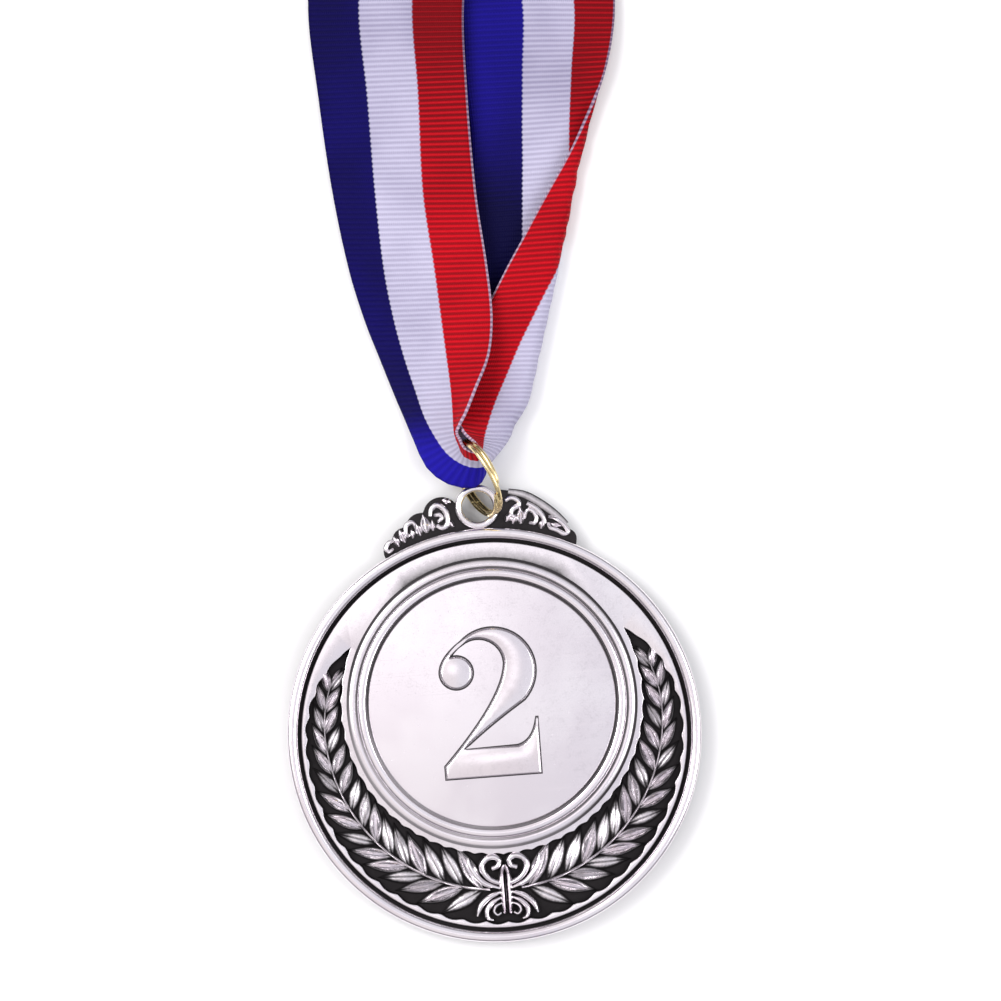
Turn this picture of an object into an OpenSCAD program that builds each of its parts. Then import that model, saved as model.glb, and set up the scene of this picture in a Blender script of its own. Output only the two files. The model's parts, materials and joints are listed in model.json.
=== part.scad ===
// Place medal: a cast disc with a laurel wreath and a number, a split ring and a striped neck ribbon.
// Origin: centre of the flat back face. +Z comes out of the numbered face, +Y points to the lug and ribbon.
// The medal lies on its back and the slack ribbon lies beyond the lug. Units: millimetres.

/* [Disc] */
// Diameter over the rim
disc_d = 65; // [63:0.5:90]
// Thickness at the rim
rim_h = 3.8; // [3.6:0.1:6]
// Width of the rim bead
rim_w = 1.6; // [1:0.1:3]
// Thickness of the polished field inside the rim
field_h = 2.6; // [2.2:0.1:3.4]
// Width of the groove inside the rim
groove_w = 0.5; // [0.3:0.1:1]
// Depth of the groove inside the rim
groove_deep = 0.5; // [0.2:0.1:0.8]
// Diameter of the flat pad on the back
back_pad_d = 56; // [40:1:58]
// Depth of the sunk ring round the back pad
back_sink = 0.4; // [0.2:0.1:0.7]

/* [Number field] */
// Diameter of the stepped frame round the number
frame_d = 45.6; // [40:0.2:52]
// Plain band between the rim bead and the frame, at the top of the disc
frame_top_gap = 3.1; // [1.5:0.1:6]
// Width of the frame's outer, lower step
frame_outer_w = 1.5; // [0.8:0.1:2.5]
// Width of the frame's inner, higher step
frame_inner_w = 1.6; // [0.8:0.1:2.5]
// Height of the outer step above the field
frame_outer_up = 0.4; // [0.2:0.05:0.8]
// Height of the inner step above the field
frame_inner_up = 0.7; // [0.4:0.05:1]
// Height of the number field above the polished field
number_field_up = 0.25; // [0.1:0.05:0.4]
// Height of the figure
figure_h = 23.4; // [18:0.2:27]
// Height of the figure above its field
figure_up = 0.5; // [0.3:0.05:1]

/* [Wreath] */
// Depth of the sunk crescent that holds the wreath
sink = 0.9; // [0.5:0.1:1.4]
// Width of the plain band between the crescent and the rim bead
sink_rim_gap = 1.3; // [0.9:0.1:3]
// Width of the plain band between the crescent and the number frame
sink_frame_gap = 0.8; // [0.5:0.1:2]
// Angle from the bow to the tip of a branch
branch_angle = 126; // [90:1:130]
// Pairs of leaves on a branch
leaf_pairs = 13; // [8:1:16]
// Angle between a leaf and its stem
leaf_splay = 31; // [26:1:36]
// Gap between neighbouring leaves
leaf_gap = 0.15; // [0.1:0.05:0.4]
// Width of the stem
stem_w = 0.6; // [0.4:0.1:1]
// Height of the leaves above the sunk floor
leaf_up = 0.95; // [0.5:0.05:1.5]
// Width of the bow
bow_w = 10.6; // [8:0.1:11]
// Width of the cord that the bow is tied from
bow_cord = 0.9; // [0.6:0.05:1]
// Height of the bow above the sunk floor
bow_up = 1.2; // [0.6:0.05:1.6]
// Free space between the bow and the edges of the crescent
bow_gap = 0.15; // [0.1:0.05:0.5]

/* [Lug] */
// Diameter of the hole in the lug
hole_d = 5; // [4.4:0.1:7]
// Wall of the eyelet round the hole
eyelet_w = 0.9; // [0.7:0.1:1.5]
// Height of the back of the lug above the back of the disc
lug_back = 1.5; // [1.4:0.1:2]
// Thickness of the lug's plate
lug_h = 1.3; // [1:0.1:2]
// Height of the eyelet above the plate
eyelet_up = 0.6; // [0.4:0.05:1]
// Height of the scrolls above the plate
scroll_up = 0.45; // [0.3:0.05:0.8]
// Half the angle that the lug covers on the disc's edge
lug_angle = 24.5; // [20:0.5:30]

/* [Split ring] */
// Mean diameter of the ring
ring_d = 12; // [11:0.1:16]
// Diameter of its wire
wire_d = 0.78; // [0.6:0.02:1]
// Turn of the ring from the lug's centre line
ring_turn = 20; // [0:1:25]
// Lean of the ring from upright
ring_lean = 22; // [0:1:24]
// Distance from the hole's centre to the ring's centre, along the medal
ring_out = 4.5; // [4.2:0.05:5]
// Sideways place of the ring's centre
ring_side = 0.45; // [0:0.05:0.6]

/* [Ribbon] */
// Width of the ribbon
ribbon_w = 25; // [15:1:32]
// Thickness of one layer with its slack
layer_h = 1.2; // [0.8:0.1:1.3]
// Diameter of the gathered ribbon inside the ring
bight_d = 5; // [4:0.1:5.4]
// Distance from the ring's centre to the gathered ribbon's centre
bight_out = 2.2; // [1.5:0.1:2.4]
// Free space between the ring and the strands beside it
ring_gap = 0.45; // [0.3:0.05:1]
// Space between strands that lie side by side
strand_gap = 0.3; // [0.2:0.1:1]

/* [Folded length] */
// Length of one run of the folded ribbon
hank_l = 62; // [50:1:90]
// Runs of doubled ribbon in the fold
hank_runs = 5; // [3:1:7]
// Thickness of one run
run_h = 1.5; // [1.2:0.1:2]
// Width of the paper band round the fold
band_w = 22; // [12:1:30]
// Thickness of the paper band
band_t = 0.4; // [0.3:0.1:0.8]
// Free space between the band and the fold
band_gap = 0.35; // [0.3:0.05:1]
// Depth of the lap where the ribbon's ends are sewn
seam_l = 10; // [6:1:14]
// Thickness of the sewing thread
thread_d = 0.35; // [0.3:0.05:0.6]

/* [Hidden] */
$fn = 96;

silver = "#d9d3d8";
dark_silver = "#6c686c";
gold = "#b59a4e";
ribbon_red = "#d8202f";
ribbon_blue = "#1f1fa8";
ribbon_white = "#e9e6f2";
paper = "#e8e2d4";

disc_r = disc_d / 2;
field_r = disc_r - rim_w;
rim_round = 0.45;
step_slope = 0.3;
edge_cut = 0.2;
frame_r = frame_d / 2;
frame_y = field_r - frame_top_gap - frame_r;
frame_mid_r = frame_r - frame_outer_w;
number_field_r = frame_mid_r - frame_inner_w;
field_top = field_h + number_field_up;
sink_floor = field_h - sink;
sink_outer_r = field_r - sink_rim_gap;
sink_inner_r = frame_r + sink_frame_gap;
sink_tip_start = 92;
eyelet_r = hole_d / 2 + eyelet_w;
hole_y = disc_r + eyelet_r;
lug_top = lug_back + lug_h;
wire_pitch = wire_d * 0.96;
ring_half_w = (wire_d + wire_pitch) / 2;
ring_foot = 0.05;
ring_z = ring_d / 2 * cos(ring_lean) + wire_pitch / 2 * sin(ring_lean) + wire_d / 2 + ring_foot;
ring_y = hole_y + ring_out;
strand_face = ring_half_w + ring_gap;
bight_y = ring_y + bight_out * cos(ring_turn);
hank_low = band_t + band_gap;
hank_h = hank_runs * run_h;
hank_x = 6;
fold_out = 132;
seam_share = 0.2;
band_share = 0.56;
stitch_l = 1.8;
fold_y = bight_y + fold_out;
e = 0.01;

// Points on a circular arc
function arc(x, y, r, from, to, steps) =
    [for (i = [0:steps]) let (a = from + (to - from) * i / steps) [x + r * cos(a), y + r * sin(a)]];

// Points on a curve from p to q that bends towards c
function bend(p, c, q, steps) =
    [for (i = [1:steps]) let (t = i / steps) p * (1 - t) * (1 - t) + c * 2 * t * (1 - t) + q * t * t];

// Angle t is measured at the disc's centre, from the bow round to the tip of a branch
function on_branch(t, r) = [r * sin(t), -r * cos(t)];
function sink_in(t) = -frame_y * cos(t) + sqrt(pow(sink_inner_r, 2) - pow(frame_y * sin(t), 2));
function tip_share(t) = max(0, (t - sink_tip_start) / (branch_angle - sink_tip_start));
sink_tip_w = 0.4;
function sink_out(t) =
    sink_outer_r - (sink_outer_r - sink_in(branch_angle) - sink_tip_w) * pow(tip_share(t), 2);
function stem_r(t) = (sink_in(t) * 0.46 + sink_out(t) * 0.54);
stem_first = 9;
stem_last = branch_angle - 8;
leaf_first = 15;
leaf_last = branch_angle - 14;
inner_leaf_share = 0.82;
inner_leaf_drop = 0.1;
leaf_root = 0.3;
leaf_step = (leaf_last - leaf_first) / (leaf_pairs - 1);
leaf_reach = 8;
function room(t) = sink_out(min(t, branch_angle)) - sink_in(min(t, branch_angle));
leaf_edge_gap = 0.1;
function outer_room(t) =
    max(0.01, sink_out(t) - stem_r(t) - stem_w / 2 - leaf_gap - leaf_edge_gap);
// Longest leaf whose tip stays inside the sunk edge, which curves away from it
function leaf_fit(t) =
    let (bend = pow(cos(leaf_splay), 2) / (2 * stem_r(t)))
    let (rise = sin(leaf_splay))
    (sqrt(rise * rise + 4 * bend * outer_room(t)) - rise) / (2 * bend);
function leaf_l(t) =
    max(1.3, min(0.7 * room(t + leaf_reach), 0.77 * room(t + 2 * leaf_reach), leaf_fit(t)));
function leaf_w(t) =
    min(leaf_l(t) * 0.3, (stem_r(t) - leaf_l(t) / 3) * leaf_step * PI / 180 * sin(leaf_splay) - leaf_gap);

// A ridge with a round top that follows an arc, standing on z = 0
module ridge(r, from, sweep, w, up)
    rotate([0, 0, from])
        rotate_extrude(angle = sweep)
            translate([r, 0])
                intersection() {
                    translate([0, up - w / 2])
                        circle(d = w);
                    translate([-w / 2, 0])
                        square([w, up]);
                }

// A low round bead standing on z = 0
module bead(r, up)
    intersection() {
        translate([0, 0, up - r])
            sphere(r);
        cylinder(r = r, h = up);
    }

module disc_blank()
    color(silver)
        difference() {
            cylinder(r = field_r, h = field_h, $fn = 180);
            translate([0, 0, field_h - groove_deep])
                difference() {
                    cylinder(r = field_r + 1, h = groove_deep + 1);
                    translate([0, 0, -1])
                        cylinder(r = field_r - groove_w, h = groove_deep + 3);
                }
            translate([0, 0, -1])
                difference() {
                    cylinder(r = field_r + 1, h = back_sink + 1);
                    translate([0, 0, -1])
                        cylinder(d = back_pad_d, h = back_sink + 3);
                }
            translate([0, 0, sink_floor])
                linear_extrude(sink + 1)
                    polygon(crescent());
        }

// Outline of the sunk crescent, out along one edge and back along the other
function crescent() = concat(
    [for (t = [-branch_angle:4:branch_angle]) on_branch(t, sink_out(abs(t)))],
    [for (t = [branch_angle:-4:-branch_angle]) on_branch(t, sink_in(abs(t)))]
);

module outer_rim()
    color(silver)
        rotate_extrude($fn = 180)
            union() {
                translate([field_r, rim_round])
                    square([rim_w, rim_h - 2 * rim_round]);
                translate([field_r, 0])
                    square([rim_w - rim_round, rim_round + e]);
                translate([field_r + rim_round, rim_h - rim_round - e])
                    square([rim_w - 2 * rim_round, rim_round + e]);
                translate([disc_r - rim_round, rim_round])
                    circle(rim_round);
                translate([disc_r - rim_round, rim_h - rim_round])
                    circle(rim_round);
                translate([field_r + rim_round, rim_h - rim_round])
                    circle(rim_round);
            }

module number_frame()
    color(silver)
        translate([0, frame_y, field_h])
            rotate_extrude($fn = 180)
                polygon([
                    [number_field_r, 0],
                    [frame_r, 0],
                    [frame_r - step_slope, frame_outer_up],
                    [frame_mid_r, frame_outer_up],
                    [frame_mid_r - step_slope, frame_inner_up],
                    [number_field_r + edge_cut, frame_inner_up],
                    [number_field_r, frame_inner_up - edge_cut]
                ]);

module number_field()
    color(silver)
        translate([0, frame_y, field_h])
            cylinder(r = number_field_r, h = number_field_up, $fn = 180);

// The figure's outline is drawn 23.4 high, about the middle of the number field
drawn_h = 23.4;

module number_two()
    color(silver)
        translate([0, frame_y, field_top])
            scale([figure_h / drawn_h, figure_h / drawn_h, 1])
                linear_extrude(figure_up)
                    polygon(concat(
                        arc(0.45, 5.1, 6.8, 134, -46, 20),
                        bend([5.2, 0.2], [-0.6, -3.4], [-4.8, -6.9], 8),
                        bend([2.8, -6.9], [6, -6.8], [6.7, -2.6], 6),
                        [[7, -2.6], [7, -11.5], [-8.1, -11.5], [-8.1, -9.4]],
                        bend([-8.1, -9.4], [1.9, 0.8], [2.3, 6.2], 10),
                        arc(-1.7, 6.2, 4, 12, 125, 10),
                        bend([-4, 9.5], [-5.2, 8.8], [-6, 7.6], 4),
                        arc(-5.25, 5.15, 2.65, 104, -190, 24),
                        bend([-7.86, 5.6], [-7.5, 7.8], [-4.4, 9.9], 5)
                    ));

// A pointed leaf along +Y, from its root at the origin
module leaf(long, wide, up) {
    edge_r = (long * long / 4 + wide * wide / 4) / wide;
    translate([0, long / 2, 0])
        intersection() {
            translate([edge_r - wide / 2, 0, 0])
                cylinder(r = edge_r, h = up, $fn = 48);
            translate([wide / 2 - edge_r, 0, 0])
                cylinder(r = edge_r, h = up, $fn = 48);
        }
}

// The leaves and the stem stand side by side on the sunk floor and don't touch
module branch() {
    for (i = [0:leaf_pairs - 1]) {
        t = leaf_first + leaf_step * i;
        root = on_branch(t, stem_r(t));
        for (side = [-1, 1])
            translate([root[0], root[1], sink_floor])
                rotate([0, 0, t])
                    translate([leaf_root, side * (stem_w / 2 + leaf_gap), 0])
                        rotate([0, 0, -90 + side * leaf_splay])
                            if (side > 0)
                                leaf(leaf_l(t), leaf_w(t) * inner_leaf_share, leaf_up - inner_leaf_drop);
                            else
                                leaf(leaf_l(t), leaf_w(t), leaf_up);
    }
    translate([0, 0, sink_floor])
        linear_extrude(leaf_up * 0.5)
            polygon(concat(
                [for (t = [stem_first:6:stem_last]) on_branch(t, stem_r(t) - stem_w / 2)],
                [for (t = [stem_last:-6:stem_first]) on_branch(t, stem_r(t) + stem_w / 2)]
            ));
}

module wreath_right()
    color(dark_silver)
        branch();

module wreath_left()
    color(dark_silver)
        mirror([1, 0, 0])
            branch();

// Two curled loops above a knot and two curled tails below it, in the gap between the branches
module wreath_bow() {
    bow_y = -(sink_in(0) + sink_out(0)) / 2;
    half_h = (sink_out(0) - sink_in(0)) / 2 - bow_gap;
    loop_r = (bow_w - 3 * bow_cord) / 4;
    tail_r = loop_r * 0.85;
    out = loop_r + bow_cord * 0.75;
    curl_up = bow_up - 0.2;
    knot_low = 1.2 - half_h;
    knot_high = half_h - 2;
    color(silver)
        translate([0, bow_y, sink_floor])
            union() {
                for (side = [0, 1])
                    mirror([side, 0, 0]) {
                        translate([out, half_h - loop_r - bow_cord / 2, 0])
                            ridge(loop_r, -120, 300, bow_cord, curl_up);
                        translate([out, tail_r + bow_cord / 2 - half_h, 0])
                            ridge(tail_r, -30, 230, bow_cord, curl_up);
                    }
                translate([-bow_cord, knot_low, 0])
                    cube([2 * bow_cord, knot_high - knot_low, bow_up]);
            }
}

// The crown's round lobes grow towards the eyelet. Each holds its share of the lug's angle, the distance of its
// centre from the disc's edge, and its radius.
LOBES = [[1, 0.3, 1.6], [0.83, 1, 2.1], [0.62, 1.7, 2.6], [0.38, 2.9, 2.9]];
foot_out = 1;

module lug_plate()
    color(dark_silver)
        translate([0, 0, lug_back])
            linear_extrude(lug_h)
                difference() {
                    union() {
                        for (side = [-1, 1])
                            for (lobe = LOBES)
                                rotate([0, 0, side * lobe[0] * lug_angle])
                                    translate([0, disc_r + lobe[1]])
                                        circle(lobe[2]);
                        for (y = [hole_y, disc_r + foot_out])
                            translate([0, y])
                                circle(eyelet_r);
                    }
                    circle(disc_r, $fn = 180);
                    translate([0, hole_y])
                        circle(d = hole_d);
                }

// The raised collar round the hole
module lug_eyelet()
    color(silver)
        translate([0, hole_y, lug_top])
            rotate_extrude()
                polygon([
                    [hole_d / 2, 0],
                    [eyelet_r, 0],
                    [eyelet_r, eyelet_up - edge_cut],
                    [eyelet_r - edge_cut, eyelet_up],
                    [hole_d / 2 + edge_cut, eyelet_up],
                    [hole_d / 2, eyelet_up - edge_cut]
                ]);

module scrolls()
    color(silver)
        translate([0, 0, lug_top])
            union() {
                rotate([0, 0, -0.4 * lug_angle])
                    translate([0, disc_r + 3.2, 0])
                        ridge(1.3, -60, 260, 0.6, scroll_up);
                rotate([0, 0, -0.62 * lug_angle])
                    translate([0, disc_r + 2.1, 0])
                        ridge(1.05, 30, 260, 0.5, scroll_up);
                rotate([0, 0, -0.83 * lug_angle])
                    translate([0, disc_r + 1.4, 0])
                        ridge(0.8, -60, 260, 0.45, scroll_up);
                rotate([0, 0, -1.01 * lug_angle])
                    translate([0, disc_r + 0.85, 0])
                        bead(0.5, scroll_up);
            }

module lug_scrolls_right()
    scrolls();

module lug_scrolls_left()
    mirror([1, 0, 0])
        scrolls();

// Places its children in the ring's own frame: X along the ring's axis, Y out along the medal, Z up
module in_ring_frame()
    translate([ring_side, ring_y, ring_z])
        rotate([0, 0, ring_turn])
            rotate([0, ring_lean, 0])
                children();

module split_ring()
    color(gold)
        in_ring_frame()
            rotate([0, 90, 0])
                rotate_extrude($fn = 96)
                    for (side = [-1, 1])
                        translate([ring_d / 2, side * wire_pitch / 2])
                            circle(d = wire_d, $fn = 32);

module ribbon_bight()
    color(ribbon_blue)
        in_ring_frame()
            translate([-strand_face, bight_out, 0])
                rotate([0, 90, 0])
                    cylinder(d = bight_d, h = 2 * strand_face);

// A strand is a slanted slab that runs through these stations. Each holds the distance from the gathered
// ribbon, the line where the two strands meet, the share of the ribbon's width that shows from above,
// the share of that width that reaches over the line, and the heights of the outer and the inner edge.
LEFT = [
    [1, -2.5, 0.23, 0, 0.3, 5.4],
    [5, -3.3, 0.27, 0, 0.3, 7],
    [7.3, -3.8, 0.27, 0, 0.3, 7.2],
    [9.5, -0.4, 0.42, 0, 0.2, 6.2],
    [14.5, 2, 0.63, 0, 0.2, 4.2],
    [24, 4.5, 0.87, 0, 0.1, 1.6],
    [40, 4.7, 0.96, 0, 0.1, 0.8],
    [60, 4, 0.97, 0, 0.6, 1.5],
    [74, 3.8, 0.97, 0, 1.5, 1.8],
    [fold_out, hank_x, 1, 0.5, 2.2, 2.2]
];
RIGHT = [
    [4.5, 1, 0.2, 0, 3, 6.4],
    [9, 0, 0.35, 0, 2, 6],
    [14.5, 2.2, 0.37, 0, 1.5, 4],
    [28, 4.8, 0.4, 0, 2.5, 0.3],
    [45, 4.8, 0.54, 0, 4.5, 0],
    [55, 4.4, 0.74, 0, 4, 0],
    [64, 4.1, 0.88, 0, 0.6, 0],
    [74, 3.8, 0.94, 0, 0, 0],
    [fold_out, hank_x, 1, 0.5, 0.8, 0.8]
];

// The four corners of a strand at one station: outer and inner edge below, inner and outer edge above.
// side is -1 on the left and 1 on the right.
function corners(s, side) =
    let (wide = ribbon_w * s[2])
    let (inner = s[1] + (side > 0 ? strand_gap : 0) - side * wide * s[3])
    let (y = bight_y + s[0])
    [
        [inner + side * wide, y, s[4]],
        [inner, y, s[5]],
        [inner, y, s[5] + layer_h],
        [inner + side * wide, y, s[4] + layer_h]
    ];

// A point of the ring's own frame, in the medal's
function from_ring(p) =
    let (x = p[0] * cos(ring_lean) + p[2] * sin(ring_lean))
    let (z = p[2] * cos(ring_lean) - p[0] * sin(ring_lean))
    [
        ring_side + x * cos(ring_turn) - p[1] * sin(ring_turn),
        ring_y + x * sin(ring_turn) + p[1] * cos(ring_turn),
        ring_z + z
    ];

// The strand's square face beside the ring
function ring_face(side) =
    let (h = bight_d * 0.35)
    [for (c = [[-h, -h], [h, -h], [h, h], [-h, h]])
        from_ring([side * strand_face, bight_out + c[0], c[1]])];

// A closed skin over four-cornered sections
module strand(stations, side) {
    rings = concat([ring_face(side)], [for (s = stations) corners(s, side)]);
    last = len(rings) - 1;
    skin = [
        for (i = [0:last - 1])
            for (k = [0:3])
                let (a = 4 * i + k)
                let (b = 4 * i + (k + 1) % 4)
                each [[a, b, b + 4], [a, b + 4, a + 4]]
    ];
    ends = [[2, 1, 0], [3, 2, 0], [4 * last, 4 * last + 1, 4 * last + 2],
        [4 * last, 4 * last + 2, 4 * last + 3]];
    faces = concat(skin, ends);
    polyhedron(
        points = [for (ring = rings) each ring],
        faces = side < 0 ? faces : [for (f = faces) [f[2], f[1], f[0]]]
    );
}

module ribbon_left_strand()
    color(ribbon_blue)
        strand(LEFT, -1);

module ribbon_right_strand()
    color(ribbon_red)
        strand(RIGHT, 1);

// The near end is flat, where the strands come in, and the far end is round
module ribbon_fold()
    color(ribbon_white)
        translate([hank_x - ribbon_w / 2, fold_y, hank_low])
            union() {
                cube([ribbon_w, hank_l - hank_h / 2, hank_h]);
                translate([0, hank_l - hank_h / 2, hank_h / 2])
                    rotate([0, 90, 0])
                        cylinder(d = hank_h, h = ribbon_w);
            }

// Two rows of stitches across the lap, on top of the fold
module ribbon_seam()
    color(ribbon_white)
        translate([hank_x, fold_y + hank_l * seam_share, hank_low + hank_h])
            for (row = [-0.35, 0.35])
                for (i = [-4:4])
                    translate([i * ribbon_w * 0.1 - stitch_l / 2, row * seam_l - thread_d / 2, 0])
                        cube([stitch_l, thread_d, thread_d / 2]);

module paper_band() {
    inner_w = ribbon_w + 2 * band_gap;
    inner_h = hank_h + 2 * band_gap;
    color(paper)
        translate([hank_x, fold_y + hank_l * band_share, 0])
            difference() {
                translate([-inner_w / 2 - band_t, -band_w / 2, 0])
                    cube([inner_w + 2 * band_t, band_w, inner_h + 2 * band_t]);
                translate([-inner_w / 2, -band_w, band_t])
                    cube([inner_w, 2 * band_w, inner_h]);
            }
}

disc_blank();
outer_rim();
number_frame();
number_field();
number_two();
wreath_left();
wreath_right();
wreath_bow();
lug_plate();
lug_eyelet();
lug_scrolls_left();
lug_scrolls_right();
split_ring();
ribbon_left_strand();
ribbon_right_strand();
ribbon_bight();
ribbon_fold();
ribbon_seam();
paper_band();
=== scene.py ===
import json
import math

import bmesh
import bpy
from mathutils import Matrix, Vector


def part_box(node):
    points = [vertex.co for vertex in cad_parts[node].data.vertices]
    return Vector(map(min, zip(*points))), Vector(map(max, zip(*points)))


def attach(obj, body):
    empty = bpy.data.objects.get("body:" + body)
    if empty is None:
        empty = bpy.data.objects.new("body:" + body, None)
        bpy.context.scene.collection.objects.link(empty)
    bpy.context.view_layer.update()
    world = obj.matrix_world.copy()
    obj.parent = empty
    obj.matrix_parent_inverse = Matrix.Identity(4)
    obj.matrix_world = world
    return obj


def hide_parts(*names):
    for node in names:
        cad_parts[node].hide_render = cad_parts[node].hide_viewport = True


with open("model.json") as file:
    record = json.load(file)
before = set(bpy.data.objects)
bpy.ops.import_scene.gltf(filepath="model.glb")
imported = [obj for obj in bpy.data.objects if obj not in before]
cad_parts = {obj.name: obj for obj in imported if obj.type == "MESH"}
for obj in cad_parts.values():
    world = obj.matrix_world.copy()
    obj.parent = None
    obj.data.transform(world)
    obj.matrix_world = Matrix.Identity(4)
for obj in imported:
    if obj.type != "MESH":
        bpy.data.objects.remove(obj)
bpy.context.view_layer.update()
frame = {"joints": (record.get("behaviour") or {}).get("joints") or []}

bl_info = {
    "name": "Place Medal",
    "version": (1, 0, 0),
    "blender": (4, 5, 0),
    "location": "View3D > Sidebar > Medal",
    "description": "Builds a place medal with its laurel wreath, split ring and folded neck ribbon",
    "category": "Object",
}

MM = 0.001
STRIPES = 3


# ---------- places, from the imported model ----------


def low(node):
    """The node's lowest corner in millimetres."""
    return Vector(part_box(node)[0]) / MM


def high(node):
    """The node's highest corner in millimetres."""
    return Vector(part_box(node)[1]) / MM


def middle(node):
    """The middle of the node's box in millimetres."""
    return (low(node) + high(node)) / 2


def joint_axis(name):
    """The axis of a joint, as a unit vector."""
    found = [j for j in frame["joints"] if j["name"] == name]
    return Vector(found[0]["axis"]).normalized()


DISC_R = high("outer_rim").x
RIM_H = high("outer_rim").z
FIELD_R = high("disc_blank").x
FIELD_H = high("disc_blank").z
FRAME_R = high("number_frame").x
FRAME_Y = middle("number_frame").y
FRAME_TOP = high("number_frame").z
NUMBER_R = high("number_field").x
NUMBER_TOP = high("number_field").z
SINK_FLOOR = low("wreath_left").z
LUG_BACK = low("lug_plate").z
LUG_TOP = high("lug_plate").z
EYELET_R = high("lug_eyelet").x
EYELET_Y = middle("lug_eyelet").y
EYELET_TOP = high("lug_eyelet").z
RING = middle("split_ring")
RING_AXIS = joint_axis("ribbon_turn")
FOLD_LOW = low("ribbon_fold")
FOLD_HIGH = high("ribbon_fold")
BAND_LOW = low("paper_band")
BAND_HIGH = high("paper_band")


# ---------- shapes ----------


def round_path(x, y, r, start, end, steps):
    """Points on a circular arc, with angles in degrees."""
    turns = [math.radians(start + (end - start) * i / steps) for i in range(steps + 1)]
    return [(x + r * math.cos(a), y + r * math.sin(a)) for a in turns]


def bent_path(p, c, q, steps):
    """Points on a curve from p to q that bends towards c, without p."""
    path = []
    for i in range(1, steps + 1):
        t = i / steps
        path.append(
            tuple(
                p[k] * (1 - t) ** 2 + 2 * c[k] * t * (1 - t) + q[k] * t * t
                for k in range(2)
            )
        )
    return path


def hermite(one, two, leave, arrive, t):
    """A point between two others, t of the way, on a curve that leaves and arrives with the given slopes."""
    return (
        one * (1 + 2 * t) * (1 - t) ** 2
        + leave * t * (1 - t) ** 2
        + two * t * t * (3 - 2 * t)
        + arrive * t * t * (t - 1)
    )


def through(points, steps=6):
    """Points on a smooth curve that passes through the given ones."""
    path = [points[0]]
    for i in range(len(points) - 1):
        a, b, c, d = (Vector(points[min(max(k, 0), len(points) - 1)]) for k in range(i - 1, i + 3))
        for k in range(1, steps + 1):
            t = k / steps
            path.append(tuple(hermite(b, c, (c - a) / 2, (d - b) / 2, t)))
    return path


def station(place, along, up, wide=1.0, tall=1.0):
    """Places an outline across a path: its x goes sideways and its y goes up."""
    along = Vector(along).normalized()
    side = along.cross(Vector(up)).normalized()
    up = side.cross(along)
    turn = Matrix((side * wide, up * tall, along)).transposed()
    return Matrix.Translation(Vector(place)) @ turn.to_4x4()


def extruded(bm, edges):
    """Extrudes a row of edges in place, and gives the new points and the new edges."""
    out = bmesh.ops.extrude_edge_only(bm, edges=edges)["geom"]
    verts = [g for g in out if isinstance(g, bmesh.types.BMVert)]
    edges = [g for g in out if isinstance(g, bmesh.types.BMEdge) and all(v in verts for v in g.verts)]
    return verts, edges


def sweep(bm, outline, stations):
    """Extrudes an outline through a row of stations and closes both ends."""
    verts = [bm.verts.new(stations[0] @ Vector((x, y, 0))) for x, y in outline]
    count = len(verts)
    edges = [bm.edges.new((verts[i], verts[(i + 1) % count])) for i in range(count)]
    first = edges
    for before, after in zip(stations, stations[1:]):
        ring, edges = extruded(bm, edges)
        bmesh.ops.transform(bm, matrix=after @ before.inverted(), verts=ring)
    bmesh.ops.edgeloop_fill(bm, edges=first)
    bmesh.ops.edgeloop_fill(bm, edges=edges)


def circle(sides):
    """A unit circle's outline."""
    return [
        (math.cos(2 * math.pi * i / sides), math.sin(2 * math.pi * i / sides))
        for i in range(sides)
    ]


def ridge(bm, path, widths, heights, floor, outline):
    """A raised cord along a flat path, standing on the floor."""
    stations = []
    for i, (x, y) in enumerate(path):
        ahead = Vector(path[min(i + 1, len(path) - 1)])
        behind = Vector(path[max(i - 1, 0)])
        along = (ahead - behind).to_3d()
        stations.append(station((x, y, floor), along, (0, 0, 1), widths[i] / 2, heights[i]))
    sweep(bm, outline, stations)


def lathe(bm, profile, steps=192, axis=(0, 0)):
    """Spins a profile of radius and height, in millimetres, round a vertical axis."""
    verts = [bm.verts.new((axis[0] + r, axis[1], z)) for r, z in profile]
    edges = [bm.edges.new(pair) for pair in zip(verts, verts[1:])]
    bmesh.ops.spin(
        bm,
        geom=verts + edges,
        cent=(axis[0], axis[1], 0),
        axis=(0, 0, 1),
        angle=2 * math.pi,
        steps=steps,
        use_merge=True,
    )
    bmesh.ops.remove_doubles(bm, verts=bm.verts, dist=1e-4)


def soft_edge(path, depth):
    """The outline moved inwards by the depth, with each point along its own normal."""
    moved = []
    count = len(path)
    area = sum(
        path[i - 1][0] * path[i][1] - path[i][0] * path[i - 1][1] for i in range(count)
    )
    sign = 1 if area > 0 else -1
    for i in range(count):
        a, p, b = (Vector(path[k % count]) for k in (i - 1, i, i + 1))
        one = (p - a).normalized()
        two = (b - p).normalized()
        normal = Vector((-(one.y + two.y), one.x + two.x)).normalized() * sign
        moved.append(tuple(p + normal * depth))
    return moved


def terrace(bm, path, steps, cap=True):
    """Walls from an outline through steps of (depth inwards, height), then a flat face."""
    loops = []
    for depth, z in steps:
        moved = soft_edge(path, depth) if depth else path
        verts = [bm.verts.new((x, y, z)) for x, y in moved]
        count = len(verts)
        loops.append([bm.edges.new((verts[i], verts[(i + 1) % count])) for i in range(count)])
    for one, two in zip(loops, loops[1:]):
        bmesh.ops.bridge_loops(bm, edges=one + two)
    if cap:
        bmesh.ops.triangle_fill(bm, use_beauty=True, edges=loops[-1])
    return loops


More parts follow.
